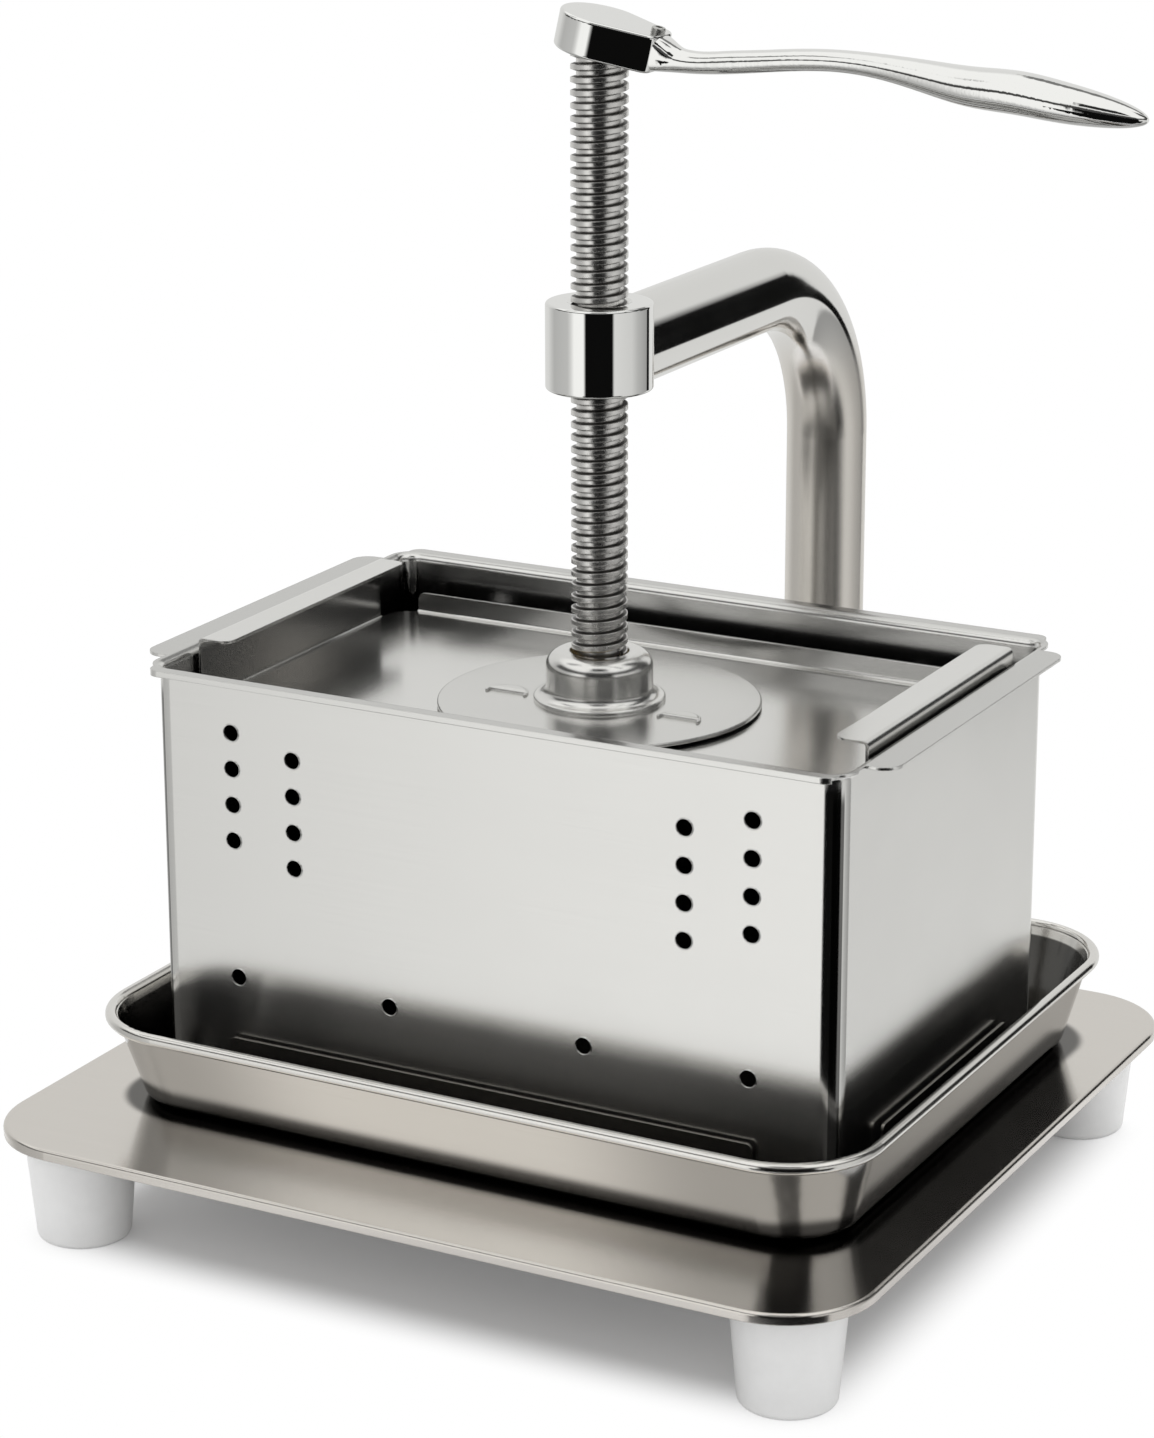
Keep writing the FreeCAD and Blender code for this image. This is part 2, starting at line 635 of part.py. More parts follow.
def end_wall(side):
    """Tall wall at one end, its top folded inwards as a hand grip."""
    wall = folded_wall(PLATE_X, HANDLE_HALF, PLATE_UNDER, PLATE_FLOOR, HANDLE_TOP, PLATE_SHEET)
    grip = box(PLATE_X - HANDLE_WIDTH, PLATE_X, -HANDLE_HALF, HANDLE_HALF, HANDLE_TOP - PLATE_SHEET, HANDLE_TOP)
    corners = [e for e in grip.Edges if e.BoundBox.ZLength > 0.1 and e.CenterOfMass.x < PLATE_X - 1]
    grip = soften(grip, 4.0, corners)
    body = fuse(wall, grip)
    crease = edges_at(body, HANDLE_TOP - PLATE_SHEET, lambda e: abs(e.CenterOfMass.x - PLATE_X + PLATE_SHEET) < 0.1)
    body = soften(body, GRIP_BEND - PLATE_SHEET, crease)
    ridge = edges_at(body, HANDLE_TOP, lambda e: e.CenterOfMass.x > PLATE_X - 0.1)
    body = soften(body, GRIP_BEND, ridge)
    if side < 0:
        body.rotate(V(0, 0, 0), UP, 180)
    body.translate(V(STACK_X, 0, 0))
    return body


def long_lip(side):
    """Low lip turned up along one long side."""
    body = folded_wall(PLATE_Y, LIP_HALF, PLATE_UNDER, PLATE_FLOOR, PLATE_FLOOR + PLATE_LIP, PLATE_SHEET)
    body = round_ends(body, 3.0, PLATE_FLOOR + PLATE_LIP - 0.1)
    body.rotate(V(0, 0, 0), UP, 90 * side)
    body.translate(V(STACK_X, 0, 0))
    return body


# ================================================================ mould box
def mould_box():
    under_rim = BOX_TOP - BOX_SHEET
    body = slab(BOX_X, BOX_Y, BOX_CORNER, BOX_BOTTOM, under_rim)
    rim = slab(BOX_X + RIM_TAB, BOX_Y + RIM_LONG, BOX_CORNER + RIM_LONG, under_rim, BOX_TOP)
    body = fuse(body, rim)
    concave = edges_at(body, under_rim, lambda e: inside(e, BOX_X + 0.01, BOX_Y + 0.01))
    body = soften(body, RIM_BEND - BOX_SHEET, concave)
    cavity = slab(BOX_X - BOX_SHEET, BOX_Y - BOX_SHEET, BOX_CORNER - BOX_SHEET, BOX_BOTTOM, BOX_TOP)
    body = body.cut(cavity)
    mouth = edges_at(body, BOX_TOP, lambda e: inside(e, BOX_X - BOX_SHEET + 0.01, BOX_Y - BOX_SHEET + 0.01))
    body = soften(body, RIM_BEND, mouth)
    body = fuse(body.common(rim_keep()), hem())
    for x, z in drain_points():
        body = body.cut(cyl(DRAIN_HOLE_R, 2 * BOX_Y + 10, x, -BOX_Y - 5, z, V(0, 1, 0)))
    body.translate(V(STACK_X, 0, 0))
    return body


def inside(edge, half_x, half_y):
    bb = edge.BoundBox
    return max(abs(bb.XMin), abs(bb.XMax)) <= half_x and max(abs(bb.YMin), abs(bb.YMax)) <= half_y


def hem():
    """The long rims' outer edges, folded under themselves."""
    low = BOX_TOP - BOX_SHEET - HEM_DEEP
    band = slab(BOX_X - LONG_SETBACK, BOX_Y + RIM_LONG, 4.0, low, BOX_TOP - BOX_SHEET)
    inner = BOX_Y + RIM_LONG - HEM_WIDTH
    return band.cut(box(-BOX_X, BOX_X, -inner, inner, low, BOX_TOP))


def rim_keep():
    """Everything but the cut-away corners of the flared rim."""
    low = BOX_TOP - 2 * RIM_BEND
    keep = slab(BOX_X + 0.5, BOX_Y + 0.5, BOX_CORNER + 0.5, BOX_BOTTOM, BOX_TOP)
    bend = slab(BOX_X + 2.4, BOX_Y + 2.4, BOX_CORNER + 2.4, low, BOX_TOP)
    along = slab(BOX_X - LONG_SETBACK, BOX_Y + RIM_LONG, 4.0, low, BOX_TOP)
    tabs = slab(BOX_X + RIM_TAB, BOX_Y - TAB_SETBACK, 6.0, low, BOX_TOP)
    return fuse(keep, bend, along, tabs)


def drain_points():
    """Centres of the small holes in the long walls."""
    points = []
    for side in (-1, 1):
        for row in range(4):
            z = BOX_TOP - TOP_ROW - ROW_PITCH * row
            points.append((side * (BOX_X - OUTER_COLUMN), z))
            points.append((side * (BOX_X - INNER_COLUMN), z - INNER_ROW_DROP))
        points.append((side * (BOX_X - LOW_OUTER), BOX_BOTTOM + LOW_ROW))
        points.append((side * (BOX_X - LOW_INNER), BOX_BOTTOM + LOW_ROW))
    return points


# ================================================================ drain plate
def steps(limit, pitch):
    """Places at a fixed pitch either side of zero, within the limit."""
    count = math.floor(limit / pitch)
    return [i * pitch for i in range(-count, count + 1)]


def drain_plate():
    parts = [slab(DRAIN_X - 4, DRAIN_Y - 4, 6.0, DRAIN_UNDER, DRAIN_FLOOR)]
    for turn in (0, 180):
        parts.append(upturn(DRAIN_X, DRAIN_Y - UPTURN_SETBACK_Y, turn))
        parts.append(upturn(DRAIN_Y, DRAIN_X - UPTURN_SETBACK_X, turn + 90))
    leg_x = DRAIN_X - LEG_INSET_X
    leg_y = DRAIN_Y - LEG_INSET_Y
    leg_low = BASE_TOP + TRAY_WALL
    for x in (-leg_x, 0, leg_x):
        for y in (-leg_y, leg_y):
            parts.append(cyl(LEG_R, DRAIN_FLOOR - leg_low, x, y, leg_low))
    plate = fuse(*parts)
    holes = [cyl(PERFORATION_R, 3 * DRAIN_SHEET, x, y, DRAIN_UNDER - DRAIN_SHEET)
             for x in steps(DRAIN_X - 20, PERFORATION_PITCH) for y in steps(DRAIN_Y - 20, PERFORATION_PITCH)
             if min(math.hypot(abs(x) - lx, abs(y) - leg_y) for lx in (0, leg_x)) > LEG_R + PERFORATION_R]
    plate = plate.cut(compound(holes))
    plate.translate(V(STACK_X, 0, 0))
    return plate


def upturn(reach, half, turn):
    """One turned-up edge of the drain plate."""
    body = folded_wall(reach, half, DRAIN_UNDER, DRAIN_FLOOR, DRAIN_TOP, DRAIN_SHEET)
    body = round_ends(body, 2.0, DRAIN_TOP - 0.1)
    body.rotate(V(0, 0, 0), UP, turn)
    return body


# ================================================================ drip tray
def tray_loft(grow, floor_z, top_z):
    reach_x = TRAY_RIM_X - TRAY_BEAD + 0.8
    reach_y = TRAY_RIM_Y - TRAY_BEAD + 0.8
    low = round_rect(TRAY_FLOOR_X + grow, TRAY_FLOOR_Y + grow, TRAY_CORNER - 9 + grow, z=floor_z)
    high = round_rect(reach_x + grow, reach_y + grow, TRAY_CORNER + grow, z=top_z)
    return Part.makeLoft([low, high], True, True)


def drip_tray():
    top = TRAY_TOP - TRAY_BEAD / 2
    outer = tray_loft(0, BASE_TOP, top)
    outer = soften(outer, 5.0, edges_at(outer, BASE_TOP))
    inner = tray_loft(-TRAY_WALL, BASE_TOP + TRAY_WALL, top)
    inner = soften(inner, 4.2, edges_at(inner, BASE_TOP + TRAY_WALL))
    tray = outer.cut(inner)
    tray = tray.fuse(tray_bead())
    tray = tray.removeSplitter()
    tray.translate(V(TRAY_SHIFT_X, TRAY_SHIFT_Y, 0))
    return tray


def tray_bead():
    low = TRAY_TOP - TRAY_BEAD
    corner = TRAY_CORNER + 2.0
    bead = slab(TRAY_RIM_X, TRAY_RIM_Y, corner, low, TRAY_TOP)
    bead = bead.cut(slab(TRAY_RIM_X - TRAY_BEAD, TRAY_RIM_Y - TRAY_BEAD, corner - TRAY_BEAD, low, TRAY_TOP))
    rounded = edges_at(bead, low) + edges_at(bead, TRAY_TOP)
    return soften(bead, TRAY_BEAD / 2 - 0.15, rounded)


# ================================================================ hand out
def pieces():
    made = {"base_plate": base_plate()}
    for name, (x, y) in foot_centres().items():
        made["foot_" + name] = foot(x, y)
    made["foot_studs"] = foot_studs()
    made["foot_washers"] = foot_washers()
    made["foot_nuts"] = foot_nuts()
    made["base_bar"] = base_bar()
    made["bar_bolts"] = bar_bolts()
    made["bar_screws"] = bar_screws()
    made["bar_washers"] = bar_washers()
    made["bar_nuts"] = bar_nuts()
    made["post_tube"] = post_tube()
    made["post_flange"] = post_flange()
    made["post_plug"] = post_plug()
    made["post_washer"] = post_washer()
    made["post_bolt"] = post_bolt()
    made["collar_nut"] = collar_nut()
    made["screw_rod"] = screw_rod()
    made["retaining_clip"] = retaining_clip()
    made["lever_handle"] = lever_handle()
    made["lever_set_screw"] = lever_set_screw()
    made["pressure_disc"] = pressure_disc()
    made["thrust_cup"] = thrust_cup()
    made["thrust_bushing"] = thrust_bushing()
    made["thrust_pad"] = thrust_pad()
    made["press_plate"] = press_plate()
    made["mould_box"] = mould_box()
    made["drain_plate"] = drain_plate()
    made["drip_tray"] = drip_tray()
    return made


def main():
    os.makedirs("parts", exist_ok=True)
    for name, shape in pieces().items():
        shape.exportStep("parts/" + name + ".step")
        print(name, "valid" if shape.isValid() else "NOT VALID", "solids", len(shape.Solids),
              "faces", len(shape.Faces), "volume %.1f" % shape.Volume)


main()
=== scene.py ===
# %% [markdown]
# # A lever screw press for bean curd
# The press is made of sheet steel, one bent tube, a trapezoidal screw and a cast lever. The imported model
# gives the shapes of all those pieces in metres, so this lesson adds what the solids don't have: light,
# finishes and the small formed edges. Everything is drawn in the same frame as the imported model, with +Z
# up. The pieces could be loaded one by one, but one call brings them all in at their places, each named as
# its maker would name it.

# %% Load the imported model
import bpy
import bmesh
import math
from mathutils import Matrix, Vector


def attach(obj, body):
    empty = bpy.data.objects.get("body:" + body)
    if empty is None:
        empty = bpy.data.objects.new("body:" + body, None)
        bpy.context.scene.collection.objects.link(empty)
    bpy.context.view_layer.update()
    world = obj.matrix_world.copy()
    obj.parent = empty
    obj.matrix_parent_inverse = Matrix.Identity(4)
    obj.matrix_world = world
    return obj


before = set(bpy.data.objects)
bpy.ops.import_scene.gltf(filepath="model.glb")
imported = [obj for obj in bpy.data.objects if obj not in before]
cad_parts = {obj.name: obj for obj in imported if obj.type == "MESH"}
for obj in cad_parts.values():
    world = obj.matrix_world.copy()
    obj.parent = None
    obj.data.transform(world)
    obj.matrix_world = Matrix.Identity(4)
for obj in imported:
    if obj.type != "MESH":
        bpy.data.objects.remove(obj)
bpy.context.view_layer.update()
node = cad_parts

# %% [markdown]
# ## The camera
# A long lens some 1.3 m away flattens the perspective, as in a catalogue picture. The camera could be aimed
# by a Track To constraint, but a matrix built from its own three axes says exactly where it looks and how
# much it rolls, and it needs no extra object.

# %% The camera's three axes
CAMERA_AZIMUTH = math.radians(28.26)
CAMERA_HEIGHT_ANGLE = math.radians(17.32)
CAMERA_ROLL = math.radians(0.11)


def camera_axes():
    """Right, up and back of the camera."""
    flat = math.cos(CAMERA_HEIGHT_ANGLE)
    back = Vector((
        math.sin(CAMERA_AZIMUTH) * flat, -math.cos(CAMERA_AZIMUTH) * flat, math.sin(CAMERA_HEIGHT_ANGLE)))
    level = Vector((0, 0, 1)).cross(back).normalized()
    down = level.cross(back).normalized()
    right = math.cos(CAMERA_ROLL) * level + math.sin(CAMERA_ROLL) * down
    down = math.cos(CAMERA_ROLL) * down - math.sin(CAMERA_ROLL) * level
    return right, -down, back


right, up, back = camera_axes()
print("camera looks along", [round(-v, 3) for v in back])

# %% Place the camera
LENS_LENGTH = 100.0
SENSOR_SIZE = 36.0
AIM_HEIGHT = 0.170
AIM_DISTANCE = 1.27847
SLIDE_LEFT = 0.00722
SLIDE_DOWN = 0.01092

lens = bpy.data.cameras.new("catalogue_lens")
lens.lens = LENS_LENGTH
lens.sensor_width = SENSOR_SIZE
camera = bpy.data.objects.new("catalogue_camera", lens)
bpy.context.scene.collection.objects.link(camera)
eye = Vector((0, 0, AIM_HEIGHT)) + back * AIM_DISTANCE - right * SLIDE_LEFT - up * SLIDE_DOWN
camera.matrix_world = Matrix.Translation(eye) @ Matrix((right, up, back)).transposed().to_4x4()
bpy.context.scene.camera = camera
bpy.context.scene.view_settings.view_transform = "Standard"
print("camera at", [round(v, 3) for v in eye])

# %% [markdown]
# ## Small tools for node trees
# Every finish and the studio are node trees. The nodes could be added and wired one line at a time, but a
# few short helpers keep the cells readable: one adds a node and sets its sockets, one feeds a socket from
# another socket or from a plain value, and the rest do arithmetic, fades and mixes in one line each.


# %% Add, join and feed
def add(tree, kind, **values):
    """New node; a value is set on the input socket of that name, or on the node's own property."""
    made = tree.nodes.new(kind)
    for name, value in values.items():
        socket = made.inputs.get(name.replace("_", " "))
        if socket is None:
            setattr(made, name, value)
        else:
            socket.default_value = value
    return made


def join(tree, start, end):
    tree.links.new(start, end)


def feed(tree, socket, value):
    """Sets a socket to a number or a tuple, or links it to another socket; None leaves it alone."""
    if isinstance(value, (int, float, tuple)):
        socket.default_value = value
    elif value is not None:
        join(tree, value, socket)


print("helpers: add, join, feed")


# %% Arithmetic, fades and mixes
def math_node(tree, operation, first, second=None, third=None):
    """One arithmetic step on sockets or plain numbers."""
    made = add(tree, "ShaderNodeMath", operation=operation)
    for socket, value in zip(made.inputs, (first, second, third)):
        feed(tree, socket, value)
    return made.outputs[0]


def vector_node(tree, operation, first, second=None, output="Vector"):
    """One arithmetic step on vectors; output names the socket that is wanted, Vector or Value."""
    made = add(tree, "ShaderNodeVectorMath", operation=operation)
    feed(tree, made.inputs[0], first)
    feed(tree, made.inputs[1], second)
    return made.outputs[output]


def fade(tree, value, low, high, start=0.0, end=1.0):
    """Value carried smoothly from low..high to start..end."""
    made = add(tree, "ShaderNodeMapRange", interpolation_type="SMOOTHSTEP")
    labels = ("Value", "From Min", "From Max", "To Min", "To Max")
    for label, given in zip(labels, (value, low, high, start, end)):
        feed(tree, made.inputs[label], given)
    return made.outputs["Result"]


def mix(tree, kind, mask, low, high):
    """Mix of two colours (RGBA) or two numbers (FLOAT), chosen by the mask."""
    made = add(tree, "ShaderNodeMix", data_type=kind)
    for label, given in zip(("Factor", "A", "B"), (mask, low, high)):
        feed(tree, made.inputs[label], given)
    return made.outputs["Result"]


def split(tree, label):
    """X, Y and Z of a texture coordinate."""
    parts = add(tree, "ShaderNodeSeparateXYZ")
    join(tree, add(tree, "ShaderNodeTexCoord").outputs[label], parts.inputs[0])
    return parts.outputs


print("helpers: math_node, vector_node, fade, mix, split")

# %% [markdown]
# ## The studio
# Polished steel has no colour of its own: it shows the room. A real studio puts a white sweep round the
# object and a few dark cards, so that the steel gets crisp black bands between the bright ones. Here the
# world does both: what the camera and soft light see is plain white, and what the steel reflects is white
# with dark cards at chosen compass directions. The cards could be planes, but they would then shade the
# floor as well.

# %% An empty world, and the two angles of a direction
world = bpy.data.worlds.new("studio")
bpy.context.scene.world = world
world.use_nodes = True
room = world.node_tree
room.nodes.clear()


def direction_angles(tree):
    """Compass angle as 0..1, with the camera's side in the middle, and the height angle in radians."""
    ray = add(tree, "ShaderNodeTexCoord").outputs["Generated"]
    turned = add(tree, "ShaderNodeVectorRotate", rotation_type="Z_AXIS", Angle=-CAMERA_AZIMUTH)
    join(tree, ray, turned.inputs["Vector"])
    parts = add(tree, "ShaderNodeSeparateXYZ")
    join(tree, turned.outputs[0], parts.inputs[0])
    away = math_node(tree, "MULTIPLY", parts.outputs["Y"], -1.0)
    angle = math_node(tree, "ARCTAN2", parts.outputs["X"], away)
    round_turn = math_node(tree, "MULTIPLY_ADD", angle, 0.5 / math.pi, 0.5)
    return round_turn, math_node(tree, "ARCSINE", parts.outputs["Z"])


turn, height = direction_angles(room)
print("world:", world.name)

# %% [markdown]
# ### The ring of cards
# Upright pieces such as the collar, the post and the box's corners mirror the room at eye level, so a ring
# of greys stands there. A picture of a studio could be wrapped round instead, but a colour ramp over the
# compass angle lets each card be moved by one number. It runs from behind the press, round by the camera,
# and back.

# %% The ring of cards
BEHIND_GREY = 0.76
CARD_TINT = 0.98
CARD_STEPS = [
    (0.000, BEHIND_GREY), (0.120, 0.72), (0.190, 0.48), (0.300, 0.54), (0.322, 0.70), (0.345, 0.98),
    (0.404, 1.00), (0.417, 0.004), (0.575, 0.004), (0.587, 0.74), (0.700, 0.66), (0.745, 0.50),
    (0.835, 0.34), (0.840, 0.78), (1.000, BEHIND_GREY)]


def card_grey(grey):
    """Grey of a card, a little warm."""
    return (grey, grey, CARD_TINT * grey, 1)


ramp = add(room, "ShaderNodeValToRGB")
ramp.color_ramp.elements[0].position = CARD_STEPS[0][0]
ramp.color_ramp.elements[1].position = CARD_STEPS[-1][0]
for place, grey in CARD_STEPS[1:-1]:
    ramp.color_ramp.elements.new(place)
for stop, (place, grey) in zip(ramp.color_ramp.elements, CARD_STEPS):
    stop.color = card_grey(grey)
join(room, turn, ramp.inputs["Fac"])
print("steps in the ring:", len(CARD_STEPS))

# %% [markdown]
# ### Single cards
# Sloping walls and bent rims mirror the room higher up or lower down. Overhead hangs a white ceiling, and
# single cards are laid over it and over the ring, each between two compass angles and two heights in
# degrees. Compass angles count from the camera's side, plus to its right. A soft edge makes a card look out
# of focus. Where a card hangs could be worked out from each face's slope, but trial was quicker. So the
# cards suit this camera only, and from other sides the steel can look darker than it is.

# %% The ceiling and the single cards
CEILING_GREY = 0.98
CEILING_LOW = math.radians(32)
CEILING_HIGH = math.radians(44)
CARDS = [  # compass, heights, softness, grey
    ((-112, 112), (16, 34), 2.5, 0.06),     # the band that the press plate and the disc mirror
    ((96, 130), (2, 60), 4.0, 0.06),        # the base's right side
    ((134, 172), (32, 44), 1.5, 0.20),      # the tray's right wall
    ((-125, -104), (50, 66), 2.5, 0.25),    # the left end of the tray's front wall
    ((-27, 22), (46, 68), 3.0, 0.02),       # the back wall inside the box
    ((119, 130), (-16, 16), 0.7, 0.004),    # the black band along the arm
    ((-42, 50), (-60, -14), 1.0, 0.004),    # below eye level, on the collar and the lever's head
]


def window(tree, value, low, high, soft):
    """1 between low and high, 0 outside, with soft edges."""
    rise = fade(tree, value, low - soft, low + soft)
    fall = fade(tree, value, high - soft, high + soft, 1.0, 0.0)
    return math_node(tree, "MULTIPLY", rise, fall)


def card(below, compass, heights, soft, grey):
    """Colour with one card laid over it."""
    left, right_side = [angle / 360 + 0.5 for angle in compass]
    low, high = [math.radians(angle) for angle in heights]
    sides = window(room, turn, left, right_side, soft / 360)
    levels = window(room, height, low, high, math.radians(soft))
    return mix(room, "RGBA", math_node(room, "MULTIPLY", sides, levels), below, card_grey(grey))


overhead = fade(room, height, CEILING_LOW, CEILING_HIGH)
lit = mix(room, "RGBA", overhead, ramp.outputs["Color"], card_grey(CEILING_GREY))
for values in CARDS:
    lit = card(lit, *values)
print("single cards:", len(CARDS))

# %% [markdown]
# ### Which ray sees what
# In a studio the backdrop stays white, the lamps light the object evenly, and only the shiny metal shows
# the cards. One world for every ray would be simpler, but the dark cards would then show behind the press
# and dim its light. Light Path tells the rays apart, so the camera sees white, soft light comes from a
# plain bright room, and only mirrored rays see the cards.

# %% The world's three faces
ROOM_LIGHT = 0.92
WHITE = (1, 1, 1, 1)


def choose(tree, mask, first, second):
    """Shader that is the first where the mask is 0 and the second where it is 1."""
    made = add(tree, "ShaderNodeMixShader")
    for socket, given in zip(made.inputs, (mask, first, second)):
        join(tree, given, socket)
    return made.outputs[0]


ray = add(room, "ShaderNodeLightPath")
mirrored = add(room, "ShaderNodeBackground", Strength=1.0)
join(room, lit, mirrored.inputs["Color"])
plain = add(room, "ShaderNodeBackground", Color=WHITE, Strength=ROOM_LIGHT)
backdrop = add(room, "ShaderNodeBackground", Color=WHITE, Strength=1.0)
seen = choose(room, ray.outputs["Is Glossy Ray"], plain.outputs[0], mirrored.outputs[0])
seen = choose(room, ray.outputs["Is Camera Ray"], seen, backdrop.outputs[0])
join(room, seen, add(room, "ShaderNodeOutputWorld").inputs["Surface"])
print("room light", ROOM_LIGHT)

# %% [markdown]
# ## The floor
# The floor has to look white and still keep the soft shadow under the base. A shadow catcher would need a
# second picture laid underneath, so the floor is a plain pale sheet with a little glow for the camera's
# rays only, and it turns to pure white a little way inside the base's outline and beyond. Near the press
# the steel mirrors the floor itself. Further out the floor lets mirrored rays through to the studio's
# cards.


# %% How far a point lies outside a rectangle, seen from above
def beyond(tree, place, centre, half_length, half_depth):
    """Distance of a point from a rectangle that lies flat, 0 inside it."""
    local = vector_node(tree, "SUBTRACT", place, (*centre, 0))
    past = vector_node(tree, "SUBTRACT", vector_node(tree, "ABSOLUTE", local), (half_length, half_depth, 1))
    return vector_node(tree, "LENGTH", vector_node(tree, "MAXIMUM", past, (0, 0, 0)), output="Value")


print("helper: beyond")

# %% The floor's sheet
FLOOR_REACH = 6.0

sheet = bmesh.new()
bmesh.ops.create_grid(sheet, x_segments=1, y_segments=1, size=FLOOR_REACH)
floor_mesh = bpy.data.meshes.new("floor")
sheet.to_mesh(floor_mesh)
sheet.free()
floor = bpy.data.objects.new("floor", floor_mesh)
bpy.context.scene.collection.objects.link(floor)
print("floor reaches", FLOOR_REACH, "m")

# %% The floor's paint
FLOOR_COLOUR = (0.80, 0.80, 0.80, 1)
FLOOR_GLOW = 0.12
SHADOW_HALF_LENGTH = 0.122
SHADOW_HALF_DEPTH = 0.114
SHADOW_FADE = 0.028
MIRROR_NEAR = 0.20
MIRROR_FAR = 0.27

paint = bpy.data.materials.new("floor_white")
paint.use_nodes = True
tree = paint.node_tree
tree.nodes.clear()
ray = add(tree, "ShaderNodeLightPath")
place = add(tree, "ShaderNodeTexCoord").outputs["Object"]
matt = add(tree, "ShaderNodeBsdfDiffuse", Color=FLOOR_COLOUR)
glow = add(tree, "ShaderNodeEmission", Color=WHITE)
join(tree, math_node(tree, "MULTIPLY", ray.outputs["Is Camera Ray"], FLOOR_GLOW), glow.inputs["Strength"])
near = add(tree, "ShaderNodeAddShader")
join(tree, matt.outputs[0], near.inputs[0])
join(tree, glow.outputs[0], near.inputs[1])
sweep = add(tree, "ShaderNodeEmission", Color=WHITE, Strength=1.0)
outside = fade(tree, beyond(tree, place, (0, 0), SHADOW_HALF_LENGTH, SHADOW_HALF_DEPTH), 0.0, SHADOW_FADE)
in_sight = math_node(tree, "MULTIPLY", outside, ray.outputs["Is Camera Ray"])
surface = choose(tree, in_sight, near.outputs[0], sweep.outputs[0])
far = fade(tree, vector_node(tree, "LENGTH", place, output="Value"), MIRROR_NEAR, MIRROR_FAR)
clear = add(tree, "ShaderNodeBsdfTransparent")
mirrored_far = math_node(tree, "MULTIPLY", far, ray.outputs["Is Glossy Ray"])
surface = choose(tree, mirrored_far, surface, clear.outputs[0])
join(tree, surface, add(tree, "ShaderNodeOutputMaterial").inputs["Surface"])
floor_mesh.materials.append(paint)
print("shadow ends", SHADOW_HALF_LENGTH + SHADOW_FADE, "m from the middle")

# %% [markdown]
# ## The lamp
# One large soft lamp above and behind throws the pale shadow that comes forward from under the base. A sun
# lamp would give a hard edge, so an area lamp is used, and the steel doesn't mirror its rectangle.

# %% The lamp
LAMP_PLACE = Vector((-0.35, 0.95, 1.35))
LAMP_AIM = Vector((0, 0, 0.05))
LAMP_SIZE = 1.1
LAMP_POWER = 13.0

light = bpy.data.lights.new("soft_lamp", "AREA")
light.shape = "SQUARE"
light.size = LAMP_SIZE
light.energy = LAMP_POWER
lamp = bpy.data.objects.new("soft_lamp", light)
bpy.context.scene.collection.objects.link(lamp)
lamp.location = LAMP_PLACE
lamp.rotation_mode = "QUATERNION"
lamp.rotation_quaternion = (LAMP_AIM - LAMP_PLACE).to_track_quat("-Z", "Y")
lamp.visible_glossy = False
print("lamp", LAMP_POWER, "W")

# %% [markdown]
# ## Shared effects
# Sheet steel carries the grain of its rolls, polished steel carries hairlines left by the wheel, and both
# carry faint smears from handling. Each could be painted into every finish anew, but several finishes use
# each of them with their own values, so the effects are node groups. Each puts out a mask between 0 and 1,
# and the finish decides what the mask does.


# %% A frame for node groups
def effect(name, sizes):
    """New node group with float inputs and one mask; returns the group, its inputs and its output node."""
    group = bpy.data.node_groups.new(name, "ShaderNodeTree")
    for label, value in sizes.items():
        socket = group.interface.new_socket(label, in_out="INPUT", socket_type="NodeSocketFloat")
        socket.default_value = value
    group.interface.new_socket("Mask", in_out="OUTPUT", socket_type="NodeSocketFloat")
    entry = group.nodes.new("NodeGroupInput")
    leave = group.nodes.new("NodeGroupOutput")
    return group, entry, leave


def stretched_noise(tree, place, scales, detail):
    """Noise on a point whose axes are stretched one by one; a scale is a socket or a number."""
    stretch = add(tree, "ShaderNodeCombineXYZ")
    for socket, value in zip(stretch.inputs, scales):
        feed(tree, socket, value)
    noise = add(tree, "ShaderNodeTexNoise", Scale=1.0, Detail=detail, Roughness=0.6)
    join(tree, vector_node(tree, "MULTIPLY", place, stretch.outputs[0]), noise.inputs["Vector"])
    return noise.outputs["Fac"]


print("helpers: effect, stretched_noise")

# %% [markdown]
# ### Rolled grain
# Rolling and brushing leave fine straight lines that run along the sheet. On standing walls they lie level,
# and on faces that look up they run along X. A painted map would do it too, but noise stretched a hundred
# times more one way than the other gives such lines at any size.

# %% Rolled grain
LEVEL_FACE_LOW = 0.6
LEVEL_FACE_HIGH = 0.8

grain_group, entry, leave = effect("rolled_grain", {"Across": 1800.0, "Along": 12.0})
coords = add(grain_group, "ShaderNodeTexCoord")
across, along = entry.outputs["Across"], entry.outputs["Along"]
upright = stretched_noise(grain_group, coords.outputs["Object"], (along, along, across), 3.0)
lying = stretched_noise(grain_group, coords.outputs["Object"], (along, across, along), 3.0)
steepness = math_node(grain_group, "ABSOLUTE", split(grain_group, "Normal")["Z"])
looks_up = fade(grain_group, steepness, LEVEL_FACE_LOW, LEVEL_FACE_HIGH)
join(grain_group, mix(grain_group, "FLOAT", looks_up, upright, lying), leave.inputs["Mask"])
print("group", grain_group.name)

# %% [markdown]
# ### Hairlines
# A polishing wheel leaves thin sparse lines in a few directions. They could be drawn as curves, but a noise
# pulled long in one direction and cut at a high level leaves only its thin peaks, and three such layers
# cross.

# %% Hairlines
LINE_TILTS = (0.3, 1.4, 2.5)
LINE_STRETCH = 14.0
PEAK_LOW = 0.66
PEAK_HIGH = 0.74

